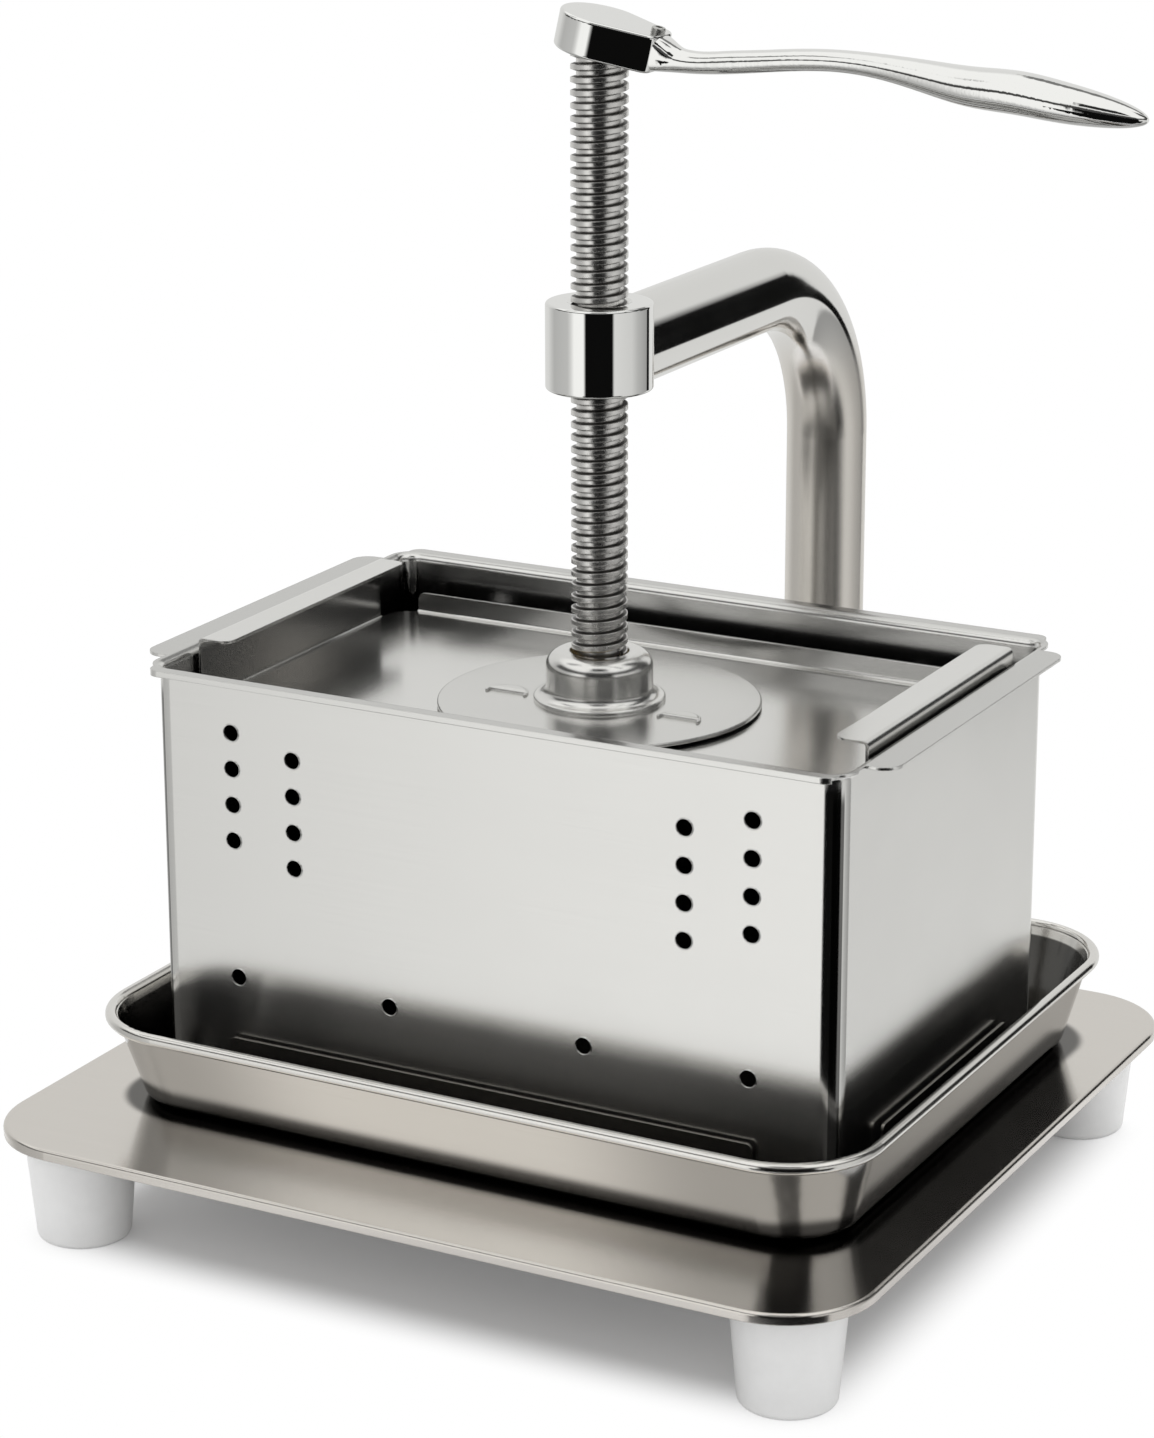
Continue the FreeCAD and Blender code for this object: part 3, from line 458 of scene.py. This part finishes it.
hair_group, entry, leave = effect("hairlines", {"Fineness": 900.0})
place = add(hair_group, "ShaderNodeTexCoord").outputs["Object"]
fine = entry.outputs["Fineness"]
lines = 0.0
for tilt in LINE_TILTS:
    lean = (tilt, 0.7 * tilt, tilt)
    turned = add(hair_group, "ShaderNodeVectorRotate", rotation_type="EULER_XYZ", Rotation=lean)
    join(hair_group, place, turned.inputs["Vector"])
    streak = stretched_noise(hair_group, turned.outputs[0], (LINE_STRETCH, fine, fine), 2.0)
    lines = math_node(hair_group, "MAXIMUM", lines, fade(hair_group, streak, PEAK_LOW, PEAK_HIGH))
join(hair_group, lines, leave.inputs["Mask"])
print("group", hair_group.name)

# %% [markdown]
# ### Smears
# Fingers and cloths leave broad soft patches, a little rougher than the steel round them. One soft noise is
# enough, and a painted map would only repeat itself from piece to piece.

# %% Smears
PATCH_LOW = 0.35
PATCH_HIGH = 0.70

smear_group, entry, leave = effect("smears", {"Size": 30.0})
place = add(smear_group, "ShaderNodeTexCoord").outputs["Object"]
size = entry.outputs["Size"]
cloud = stretched_noise(smear_group, place, (size, size, size), 4.0)
join(smear_group, fade(smear_group, cloud, PATCH_LOW, PATCH_HIGH), leave.inputs["Mask"])
print("group", smear_group.name)

# %% [markdown]
# ## The steel finishes
# All the steels share one recipe: full metal, a base colour a little warmer than grey, a roughness that the
# grain and the smears move up and down, and a bump so shallow that only a grazing light shows it. Each
# could be its own node tree, but one function for sheet and one for polished steel keep them alike, and
# each finish names its own values.


# %% Parts that every finish uses
def use(tree, group, **values):
    """Mask of a node group placed in a tree with its own values."""
    made = tree.nodes.new("ShaderNodeGroup")
    made.node_tree = group
    for name, value in values.items():
        made.inputs[name].default_value = value
    return made.outputs["Mask"]


def blank(name):
    """Material with a Principled shader; returns the material, its tree and the shader."""
    finish = bpy.data.materials.new(name)
    finish.use_nodes = True
    return finish, finish.node_tree, finish.node_tree.nodes["Principled BSDF"]


def tinted(tree, mask, low, high):
    """Colour between low and high, chosen by the mask."""
    return mix(tree, "RGBA", mask, (*low, 1), (*high, 1))


def scaled(tree, colour, tone):
    """Colour multiplied by a tone."""
    made = add(tree, "ShaderNodeVectorMath", operation="SCALE")
    join(tree, colour, made.inputs[0])
    join(tree, tone, made.inputs["Scale"])
    return made.outputs[0]


def relief(tree, shader, height, strength, distance, edge=0.0):
    """Bump on the shader; edge is the radius to which sharp edges are eased, so that they catch the light."""
    bump = add(tree, "ShaderNodeBump", Strength=strength, Distance=distance)
    join(tree, height, bump.inputs["Height"])
    if edge:
        join(tree, add(tree, "ShaderNodeBevel", samples=4, Radius=edge).outputs[0], bump.inputs["Normal"])
    join(tree, bump.outputs[0], shader.inputs["Normal"])


print("helpers: use, blank, tinted, scaled, relief")

# %% [markdown]
# ### Sheet steel
# Sheet keeps the grain of its rolls. Where a face of the box looks up, as its rim does, the colour is
# darkened as painted shade, and a tone given to the recipe says by how much. That could be a second material
# on the rim's faces, but the imported pieces carry one slot each, and the direction in which a face looks
# tells the same thing.

# %% Rolled or brushed sheet
RIM_LOOKS_UP = 0.70
RIM_LIES_FLAT = 0.95
GRAIN_SHADE = 0.94
GRAIN_DEPTH = 0.0002
SHEET_SMEAR_SIZE = 28.0


def steel(name, colour, rough, grain, bump, smear=0.05, across=1800.0, along=12.0, edge=0.0005,
          up_face_shade=1.0):
    """Rolled or brushed steel. rough is the mean roughness; grain and smear are what the masks add to it."""
    finish, tree, shader = blank(name)
    lines = use(tree, grain_group, Across=across, Along=along)
    patches = use(tree, smear_group, Size=SHEET_SMEAR_SIZE)
    bright = tinted(tree, lines, [GRAIN_SHADE * c for c in colour], colour)
    # painted shade: faces that look up are darkened by the tone given for them
    level = fade(tree, split(tree, "Normal")["Z"], RIM_LOOKS_UP, RIM_LIES_FLAT, 1.0, up_face_shade)
    join(tree, scaled(tree, bright, level), shader.inputs["Base Color"])
    shader.inputs["Metallic"].default_value = 1.0
    uneven = math_node(tree, "MULTIPLY_ADD", lines, grain, rough - grain / 2)
    smeared = math_node(tree, "MULTIPLY", patches, smear)
    join(tree, math_node(tree, "ADD", uneven, smeared), shader.inputs["Roughness"])
    relief(tree, shader, lines, bump, GRAIN_DEPTH, edge)
    return finish


box_steel = steel("mould_box_steel", (0.84, 0.835, 0.82), 0.19, 0.03, 0.02, smear=0.015, up_face_shade=0.78)
plate_steel = steel("press_plate_steel", (0.84, 0.835, 0.82), 0.16, 0.02, 0.008, smear=0.02)
disc_steel = steel("pressure_disc_steel", (0.78, 0.775, 0.76), 0.22, 0.03, 0.02, smear=0.02)
tray_steel = steel("drip_tray_steel", (0.84, 0.825, 0.80), 0.12, 0.02, 0.01, smear=0.015)
# the drain plate's colour, far darker than the other sheet steels, is painted shade for its place down in the
# tray round the box's foot
drain_steel = steel("drain_plate_steel", (0.36, 0.345, 0.32), 0.24, 0.03, 0.02, smear=0.02)
base_steel = steel("base_plate_steel", (0.77, 0.735, 0.695), 0.14, 0.02, 0.008, smear=0.015)
bar_steel = steel("flat_bar_steel", (0.50, 0.50, 0.49), 0.42, 0.12, 0.20, across=900.0)
print("sheet finishes:", [m.name for m in bpy.data.materials if "steel" in m.name])

# %% [markdown]
# ### Polished steel
# The lever, the collar and the cup look nearly like mirrors. A roughness of zero would look like plastic
# film, so a little is left, and hairlines roughen it here and there. The cast lever and the collar have no
# relief at all, because on a mirror the smallest bump breaks the reflection up.

# %% Wheel-polished steel
SCRATCH_DEPTH = 0.0001
SCRATCH_FINENESS = 900.0
WHEEL_SMEAR_SIZE = 45.0
WHEEL_SMEAR_SHARE = 0.4


def polished(name, colour, rough, scratch=0.12, bump=0.02, edge=0.0004, dull=0.93):
    """Nearly a mirror, with hairlines that are rougher by scratch and darker by dull."""
    finish, tree, shader = blank(name)
    lines = use(tree, hair_group, Fineness=SCRATCH_FINENESS)
    patches = use(tree, smear_group, Size=WHEEL_SMEAR_SIZE)
    shader.inputs["Metallic"].default_value = 1.0
    join(tree, tinted(tree, lines, colour, [dull * c for c in colour]), shader.inputs["Base Color"])
    rougher = math_node(tree, "MULTIPLY_ADD", lines, scratch, rough)
    smeared = math_node(tree, "MULTIPLY", patches, WHEEL_SMEAR_SHARE * rough)
    join(tree, math_node(tree, "ADD", rougher, smeared), shader.inputs["Roughness"])
    if bump:
        relief(tree, shader, lines, bump, SCRATCH_DEPTH, edge)
    return finish


chrome = polished("lever_chrome", (0.88, 0.88, 0.87), 0.035, scratch=0.004, bump=0.0, dull=0.99)
cup_chrome = polished("cup_chrome", (0.80, 0.795, 0.78), 0.17, scratch=0.03, edge=0.0008)
zinc = polished("fastener_zinc", (0.60, 0.60, 0.58), 0.28)
tube_steel = polished("post_tube_steel", (0.74, 0.73, 0.71), 0.12, scratch=0.03)
print("polished finishes:", chrome.name, cup_chrome.name, zinc.name, tube_steel.name)

# %% [markdown]
# ## Where shade is painted into a finish
# No piece looks equally bright all over, because each mirrors brighter and darker parts of the room. Here the
# darker parts are painted into the finish as shade, a tone that multiplies the base colour where a mask says
# so, and each tone was chosen for this camera. In another light, set the tones back to 1 first. A second
# material would need a seam, and a mask made from a point's place and the way its face looks needs none.


# %% Dull a finish where a mask says so
def paint_shade_where(finish, mask, tone):
    """Multiplies a finish's base colour by tone where the mask is 1: painted shade."""
    tree = finish.node_tree
    shader = tree.nodes["Principled BSDF"]
    bright = shader.inputs["Base Color"].links[0].from_socket
    join(tree, scaled(tree, bright, fade(tree, mask, 0.0, 1.0, 1.0, tone)), shader.inputs["Base Color"])


def across_plane(tree, label, axis):
    """Distance of a point, or of a face's direction, from the middle plane across an axis."""
    return math_node(tree, "ABSOLUTE", split(tree, label)[axis])


print("helpers: paint_shade_where, across_plane")

# %% [markdown]
# ### The drip tray
# Inside, below the rolled bead, the tray is painted far darker than outside: painted shade. Outside, the ends
# of its long walls get painted shade too, darker than the middle, and the bead is left bright all round.
# Vertex colours could hold this, but heights and distances from the imported sizes need no painting.

# %% The tray's inside and ends
TRAY_BEAD_FOOT = 0.0665
BEAD_SOFT = 0.001
LOOKS_LEVEL = 0.02
LOOKS_UP = 0.10
TRAY_INSIDE_SHADE = 0.26
TRAY_MIDDLE_REACH = 0.020
TRAY_END_REACH = 0.110
TRAY_END_SHADE = 0.56

tree = tray_steel.node_tree
below_bead = fade(tree, split(tree, "Object")["Z"], TRAY_BEAD_FOOT - BEAD_SOFT, TRAY_BEAD_FOOT, 1.0, 0.0)
looks_in = fade(tree, split(tree, "Normal")["Z"], LOOKS_LEVEL, LOOKS_UP)
# painted shade inside the tray, below its bead
paint_shade_where(tray_steel, math_node(tree, "MULTIPLY", looks_in, below_bead), TRAY_INSIDE_SHADE)
# painted shade on the ends of the tray's long walls
ends = fade(tree, across_plane(tree, "Object", "X"), TRAY_MIDDLE_REACH, TRAY_END_REACH)
paint_shade_where(tray_steel, math_node(tree, "MULTIPLY", ends, below_bead), TRAY_END_SHADE)
print("tray dull below", TRAY_BEAD_FOOT, "m and beyond", TRAY_END_REACH, "m")

# %% [markdown]
# ### The painted shadow round the tray's foot
# A dark line runs round the tray's foot, on the lowest part of its wall and on the base next to it: a painted
# contact shadow. The studio's soft light alone leaves it too pale, and a thin ring would be a piece that the
# press doesn't have, so the shadow is only colour. The tray's foot is a rectangle with round corners: the
# distance from a smaller rectangle gives exactly that shape.

# %% The painted shadow on the tray and on the base
TRAY_CENTRE = (0.0030, 0.0025)
TRAY_FOOT_X = 0.1274
TRAY_FOOT_Y = 0.1041
TRAY_FOOT_CORNER = 0.021
TRAY_FOOT = 0.039
WALL_LINE_LOW = 0.0012
WALL_LINE_HIGH = 0.0060
BASE_LINE_NEAR = 0.001
BASE_LINE_FAR = 0.006
WALL_FOOT_SHADOW_TONE = 0.22
BASE_FOOT_SHADOW_TONE = 0.15

# painted contact shadow on the lowest part of the tray's wall
rise = math_node(tree, "SUBTRACT", split(tree, "Object")["Z"], TRAY_FOOT)
wall_foot_shadow = fade(tree, rise, WALL_LINE_LOW, WALL_LINE_HIGH, 1.0, 0.0)
paint_shade_where(tray_steel, wall_foot_shadow, WALL_FOOT_SHADOW_TONE)
# painted contact shadow on the base round the tray's foot
tree = base_steel.node_tree
place = add(tree, "ShaderNodeTexCoord").outputs["Object"]
from_foot = beyond(tree, place, TRAY_CENTRE, TRAY_FOOT_X - TRAY_FOOT_CORNER, TRAY_FOOT_Y - TRAY_FOOT_CORNER)
gap = math_node(tree, "SUBTRACT", from_foot, TRAY_FOOT_CORNER)
line = fade(tree, gap, BASE_LINE_NEAR, BASE_LINE_FAR, 1.0, 0.0)
paint_shade_where(base_steel, line, BASE_FOOT_SHADOW_TONE)
print("dark line round", TRAY_FOOT_X, "by", TRAY_FOOT_Y)

# %% [markdown]
# ### The mould box, inside and at its corners
# Inside, below its mouth, the box is painted nearly black, as painted shade. Its bent corners mirror the room
# more crisply than its flat walls, as if the wheel had pressed harder on the curve, so they get a smoother
# finish. The inside could be told by the side of the sheet, but a box of coordinates is simpler and safe at
# the holes.

# %% The box's painted dark inside
BOX_MIDDLE_X = 0.0015
INSIDE_X = 0.1191
INSIDE_Y = 0.0779
WALL_STEP = 0.0002
MOUTH_HIGH = 0.1775
MOUTH_LOW = 0.1690
BOX_INSIDE_SHADE = 0.22

tree = box_steel.node_tree
at = split(tree, "Object")
from_middle = math_node(tree, "ABSOLUTE", math_node(tree, "SUBTRACT", at["X"], BOX_MIDDLE_X))
within_x = fade(tree, from_middle, INSIDE_X - WALL_STEP, INSIDE_X, 1.0, 0.0)
within_y = fade(tree, math_node(tree, "ABSOLUTE", at["Y"]), INSIDE_Y - WALL_STEP, INSIDE_Y, 1.0, 0.0)
deep = fade(tree, at["Z"], MOUTH_LOW, MOUTH_HIGH, 1.0, 0.0)
inside = math_node(tree, "MULTIPLY", math_node(tree, "MULTIPLY", within_x, within_y), deep)
# painted shade inside the box below its mouth
paint_shade_where(box_steel, inside, BOX_INSIDE_SHADE)
print("box dull below", MOUTH_HIGH, "m")

# %% The box's bright corners
CORNER_ROUGH = 0.09
CORNER_LOW = 0.062
CORNER_CLEAR = 0.107
CORNER_HIGH = 0.177
CORNER_SOFT = 0.003
BEND_LOW = 0.02
BEND_HIGH = 0.15

faces = split(tree, "Normal")
bent = math_node(tree, "ABSOLUTE", math_node(tree, "MULTIPLY", faces["X"], faces["Y"]))
between = math_node(
    tree, "MULTIPLY", fade(tree, at["Z"], CORNER_LOW, CORNER_CLEAR),
    fade(tree, at["Z"], CORNER_HIGH - CORNER_SOFT, CORNER_HIGH, 1.0, 0.0))
on_corner = math_node(tree, "MULTIPLY", fade(tree, bent, BEND_LOW, BEND_HIGH), between)
roughness = tree.nodes["Principled BSDF"].inputs["Roughness"]
as_rolled = roughness.links[0].from_socket
join(tree, mix(tree, "FLOAT", on_corner, as_rolled, CORNER_ROUGH), roughness)
print("corner roughness", CORNER_ROUGH)

# %% [markdown]
# ### The press plate and the lever
# The plate's end walls get painted shade below their folded grips, and the lever gets painted shade on its
# underside. Those faces could get a slot of their own, but the way a face looks tells them apart already,
# leaves no seam and follows the pieces when they move.

# %% The plate's end walls and the lever's underside
GRIP_LOW = 0.1790
GRIP_HIGH = 0.1825
SIDEWAYS_LOW = 0.6
SIDEWAYS_HIGH = 0.9
END_WALL_SHADE = 0.52
LOOKS_DOWN_FULLY = -0.80
LOOKS_DOWN_BARELY = -0.10
UNDERSIDE_SHADE = 0.45

# painted shade on the plate's end walls below the grips
tree = plate_steel.node_tree
sideways = fade(tree, across_plane(tree, "Normal", "X"), SIDEWAYS_LOW, SIDEWAYS_HIGH)
under_grip = fade(tree, split(tree, "Object")["Z"], GRIP_LOW, GRIP_HIGH, 1.0, 0.0)
paint_shade_where(plate_steel, math_node(tree, "MULTIPLY", sideways, under_grip), END_WALL_SHADE)
# painted shade on the lever's underside
tree = chrome.node_tree
looks_down = fade(tree, split(tree, "Normal")["Z"], LOOKS_DOWN_FULLY, LOOKS_DOWN_BARELY, 1.0, 0.0)
paint_shade_where(chrome, looks_down, UNDERSIDE_SHADE)
print("dulled:", plate_steel.name, chrome.name)

# %% [markdown]
# ### The post
# The post and the arm are one bent tube. The arm looks polished and the upright only brushed and a little
# warmer in colour, and a dark streak up the front of the upright is a painted reflection. Two materials would
# meet in a visible line, so one material blends from the one to the other by height.

# %% A bright arm over a duller upright
ARM_LOW = 0.236
ARM_HIGH = 0.266
UPRIGHT_COLOUR = (0.80, 0.765, 0.72)
ARM_COLOUR = (0.80, 0.795, 0.78)
UPRIGHT_ROUGH = 0.25
ARM_ROUGH = 0.07
TUBE_SMEAR = 0.02

tree = tube_steel.node_tree
shader = tree.nodes["Principled BSDF"]
arm = fade(tree, split(tree, "Object")["Z"], ARM_LOW, ARM_HIGH)
join(tree, tinted(tree, arm, UPRIGHT_COLOUR, ARM_COLOUR), shader.inputs["Base Color"])
smeared = math_node(tree, "MULTIPLY", use(tree, smear_group, Size=WHEEL_SMEAR_SIZE), TUBE_SMEAR)
by_height = fade(tree, arm, 0.0, 1.0, UPRIGHT_ROUGH, ARM_ROUGH)
join(tree, math_node(tree, "ADD", by_height, smeared), shader.inputs["Roughness"])
print("arm above", ARM_HIGH, "m")

# %% The painted reflection up the post's front
STREAK_SIDE = (0.44, -0.90, 0.0)
STREAK_EDGE = 0.90
STREAK_CORE = 0.985
STREAK_TOP = 0.255
STREAK_FADE = 0.040
STREAK_REFLECTION_TONE = 0.55

# painted reflection: a dark streak on the faces of the post that look to the front
normal = add(tree, "ShaderNodeTexCoord").outputs["Normal"]
towards = vector_node(tree, "DOT_PRODUCT", normal, STREAK_SIDE, output="Value")
streak = fade(tree, towards, STREAK_EDGE, STREAK_CORE)
fading_out = fade(tree, split(tree, "Object")["Z"], STREAK_TOP - STREAK_FADE, STREAK_TOP, 1.0, 0.0)
paint_shade_where(tube_steel, math_node(tree, "MULTIPLY", streak, fading_out), STREAK_REFLECTION_TONE)
print("streak below", STREAK_TOP, "m")

# %% [markdown]
# ## The screw
# The thread's crests and roots are left bright, and the flanks between them are painted dark as shade,
# standing in for the shadow between the threads. They could be painted on a map, but the distance from the
# screw's axis tells them apart. Faint tool marks run round the screw, as a lathe leaves them.

# %% The screw's finish
ROOT_RADIUS = 0.0072
ROOT_FULL = ROOT_RADIUS + 0.0001
ROOT_UNTIL = ROOT_RADIUS + 0.0005
CREST_RADIUS = 0.0090
CREST_FROM = CREST_RADIUS - 0.0006
CREST_FULL = CREST_RADIUS - 0.0001
FLANK_SHADE_COLOUR = (0.13, 0.125, 0.12)
CREST_AND_ROOT_COLOUR = (0.76, 0.75, 0.735)
FLANK_ROUGH = 0.36
CREST_AND_ROOT_ROUGH = 0.23
OIL_SIZE = 160.0
OIL_ROUGH = 0.06
TOOL_MARKS = (40.0, 40.0, 5200.0)
MARK_STRENGTH = 0.10
MARK_DEPTH = 0.0001
THREAD_EDGE = 0.0005

screw_steel, tree, shader = blank("screw_steel")
place = add(tree, "ShaderNodeTexCoord").outputs["Object"]
reach = vector_node(tree, "LENGTH", vector_node(tree, "MULTIPLY", place, (1, 1, 0)), output="Value")
crest = fade(tree, reach, CREST_FROM, CREST_FULL)
root = fade(tree, reach, ROOT_FULL, ROOT_UNTIL, 1.0, 0.0)
crest_and_root = math_node(tree, "MAXIMUM", crest, root)
# painted shade: the thread's flanks are dark, its crests and roots bright
join(tree, tinted(tree, crest_and_root, FLANK_SHADE_COLOUR, CREST_AND_ROOT_COLOUR), shader.inputs["Base Color"])
shader.inputs["Metallic"].default_value = 1.0
oil = math_node(tree, "MULTIPLY", use(tree, smear_group, Size=OIL_SIZE), OIL_ROUGH)
rough = fade(tree, crest_and_root, 0.0, 1.0, FLANK_ROUGH, CREST_AND_ROOT_ROUGH)
join(tree, math_node(tree, "ADD", rough, oil), shader.inputs["Roughness"])
relief(tree, shader, stretched_noise(tree, place, TOOL_MARKS, 2.0), MARK_STRENGTH, MARK_DEPTH, THREAD_EDGE)
print("screw crest", CREST_RADIUS, "root", ROOT_RADIUS)

# %% [markdown]
# ## Brass, rubber and plastic
# The feet are moulded in white plastic with a faint orange-peel skin. The bushing and the pad are hidden
# inside the press head, and brass and black rubber are what such pieces are often made of. Flat colours
# would look painted, so smears vary the colour and the roughness of all three, and the plastic alone gets a
# relief.


# %% A finish that smears vary
def smeared_finish(name, size, low, high, smooth, rough, metal=0.0):
    """Finish whose colour goes from low to high, and its roughness from smooth to rough, with the smears."""
    finish, tree, shader = blank(name)
    patches = use(tree, smear_group, Size=size)
    join(tree, tinted(tree, patches, low, high), shader.inputs["Base Color"])
    join(tree, fade(tree, patches, 0.0, 1.0, smooth, rough), shader.inputs["Roughness"])
    shader.inputs["Metallic"].default_value = metal
    return finish


brass = smeared_finish("bushing_brass", 120.0, (0.60, 0.42, 0.16), (0.76, 0.58, 0.26), 0.22, 0.34, metal=1.0)
rubber = smeared_finish("pad_rubber", 200.0, (0.030, 0.030, 0.030), (0.055, 0.053, 0.050), 0.62, 0.78)
foot_plastic = smeared_finish("foot_plastic", 60.0, (0.86, 0.86, 0.855), (0.90, 0.90, 0.895), 0.34, 0.44)
print("finishes:", brass.name, rubber.name, foot_plastic.name)

# %% The plastic's orange-peel skin
SKIN_FINENESS = 1400.0
SKIN_STRENGTH = 0.06
SKIN_DEPTH = 0.0002

tree = foot_plastic.node_tree
place = add(tree, "ShaderNodeTexCoord").outputs["Object"]
skin = stretched_noise(tree, place, (SKIN_FINENESS, SKIN_FINENESS, SKIN_FINENESS), 1.0)
relief(tree, tree.nodes["Principled BSDF"], skin, SKIN_STRENGTH, SKIN_DEPTH)
print("materials:", len(bpy.data.materials))

# %% [markdown]
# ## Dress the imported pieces
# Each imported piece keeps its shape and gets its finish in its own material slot. The slots could be filled
# piece by piece, but a table shows at a glance what each is made of. What isn't in the table is a fastener,
# and those are all zinc plated.

# %% Which finish goes on which piece
FINISHES = {
    box_steel: ["mould_box"],
    plate_steel: ["press_plate"],
    disc_steel: ["pressure_disc"],
    drain_steel: ["drain_plate"],
    tray_steel: ["drip_tray"],
    base_steel: ["base_plate"],
    bar_steel: ["base_bar", "post_flange", "post_plug"],
    tube_steel: ["post_tube"],
    chrome: ["collar_nut", "lever_handle"],
    cup_chrome: ["thrust_cup"],
    brass: ["thrust_bushing"],
    rubber: ["thrust_pad"],
    screw_steel: ["screw_rod"],
    foot_plastic: ["foot_front_left", "foot_front_right", "foot_back_left", "foot_back_right"],
}
finish_of = {name: finish for finish, names in FINISHES.items() for name in names}
for name, piece in node.items():
    piece.data.materials.clear()
    piece.data.materials.append(finish_of.get(name, zinc))
print("dressed", len(node), "pieces")

# %% [markdown]
# ## Rims of the drain holes
# Each small hole in the long walls has a thin bright rim on the outside, as a hole punched from inside
# gets. A boolean could cut such a ring from the sheet, but a ring spun from a small circle is simpler, and
# with few sides it stays light. All the rings are one piece, because they ride on the box together. The
# places of the holes repeat the sizes of the box.

# %% A ring spun from a small circle
WIRE_SIDES = 8
RING_STEPS = 28


def spun_ring(mesh, radius, thick, centre, turn=2 * math.pi):
    """Adds a ring, or an arch, that lies round the Y axis through its centre."""
    made = bmesh.ops.create_circle(mesh, segments=WIRE_SIDES, radius=thick)["verts"]
    bmesh.ops.translate(mesh, verts=made, vec=(radius, 0, 0))
    edges = list({edge for vert in made for edge in vert.link_edges})
    before = set(mesh.verts)
    bmesh.ops.spin(
        mesh, geom=made + edges, cent=(0, 0, 0), axis=(0, 1, 0), angle=turn, steps=RING_STEPS,
        use_merge=turn > math.pi)
    ring = made + [vert for vert in mesh.verts if vert not in before]
    bmesh.ops.translate(mesh, verts=ring, vec=centre)
    return ring


print("ring of", RING_STEPS, "steps")


# %% A piece from a finished mesh
def piece_from(mesh, name, finish, body):
    """Object from a finished mesh, dressed and riding on a body."""
    bmesh.ops.recalc_face_normals(mesh, faces=mesh.faces)
    for face in mesh.faces:
        face.smooth = True
    data = bpy.data.meshes.new(name)
    mesh.to_mesh(data)
    mesh.free()
    data.materials.append(finish)
    piece = bpy.data.objects.new(name, data)
    bpy.context.scene.collection.objects.link(piece)
    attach(piece, body)
    return piece


print("helper: piece_from")

# %% The places of the holes, from the box's own sizes
BOX_HALF_X = 0.1197
BOX_TOP = 0.181
BOX_FOOT = 0.0483
HOLE_ROWS = 4
OUTER_COLUMN = 0.0287
INNER_COLUMN = 0.0511
TOP_ROW = 0.0185
ROW_PITCH = 0.0119
INNER_DROP = 0.0058
LOW_ROW = 0.0323
LOW_OUTER = 0.0292
LOW_INNER = 0.0852


def hole_places():
    """Centres of the holes of one long wall, as x and z."""
    places = []
    for side in (-1, 1):
        for row in range(HOLE_ROWS):
            z = BOX_TOP - TOP_ROW - ROW_PITCH * row
            places.append((side * (BOX_HALF_X - OUTER_COLUMN), z))
            places.append((side * (BOX_HALF_X - INNER_COLUMN), z - INNER_DROP))
        places.append((side * (BOX_HALF_X - LOW_OUTER), BOX_FOOT + LOW_ROW))
        places.append((side * (BOX_HALF_X - LOW_INNER), BOX_FOOT + LOW_ROW))
    return places


print("holes in one wall:", len(hole_places()))

# %% The rims on both long walls
BOX_HALF_Y = 0.0785
RIM_RADIUS = 0.00285
RIM_THICK = 0.00022

rims = bmesh.new()
for x, z in hole_places():
    for wall in (-BOX_HALF_Y, BOX_HALF_Y):
        spun_ring(rims, RIM_RADIUS, RIM_THICK, (x + BOX_MIDDLE_X, wall, z))
piece_from(rims, "drain_hole_rims", chrome, "mould_box")
print("rims:", 2 * len(hole_places()))

# %% [markdown]
# ## Ridges on the pressure disc
# Each half moon pressed into the disc has a raised arch along its round side. The same ring, spun only half
# way and laid flat, makes the arch. Its two ends are filled, and small balls round them off. A curve with a
# round bevel could make it too, but it would have to be made a mesh first.

# %% Two arches round the half moons
DISC_TOP = 0.1657
MOON_PLACES = (-0.029, 0.033)
ARCH_MIDDLE_Y = -0.0098
ARCH_RADIUS = 0.0069
ARCH_THICK = 0.00055
ARCH_RISE = 0.0003
LAID_FLAT = Matrix.Rotation(-math.pi / 2, 3, "X")

ridges = bmesh.new()
for x in MOON_PLACES:
    arch = spun_ring(ridges, ARCH_RADIUS, ARCH_THICK, (0, 0, 0), turn=-math.pi)
    bmesh.ops.holes_fill(ridges, edges=ridges.edges, sides=WIRE_SIDES)
    bmesh.ops.rotate(ridges, verts=arch, cent=(0, 0, 0), matrix=LAID_FLAT)
    for side in (-1, 1):
        ball = bmesh.ops.create_uvsphere(ridges, u_segments=10, v_segments=6, radius=ARCH_THICK)["verts"]
        bmesh.ops.translate(ridges, verts=ball, vec=(side * ARCH_RADIUS, 0, 0))
        arch = arch + ball
    bmesh.ops.translate(ridges, verts=arch, vec=(x, ARCH_MIDDLE_Y, DISC_TOP + ARCH_RISE))
piece_from(ridges, "disc_ridges", disc_steel, "press_head")
print("arches:", len(MOON_PLACES))
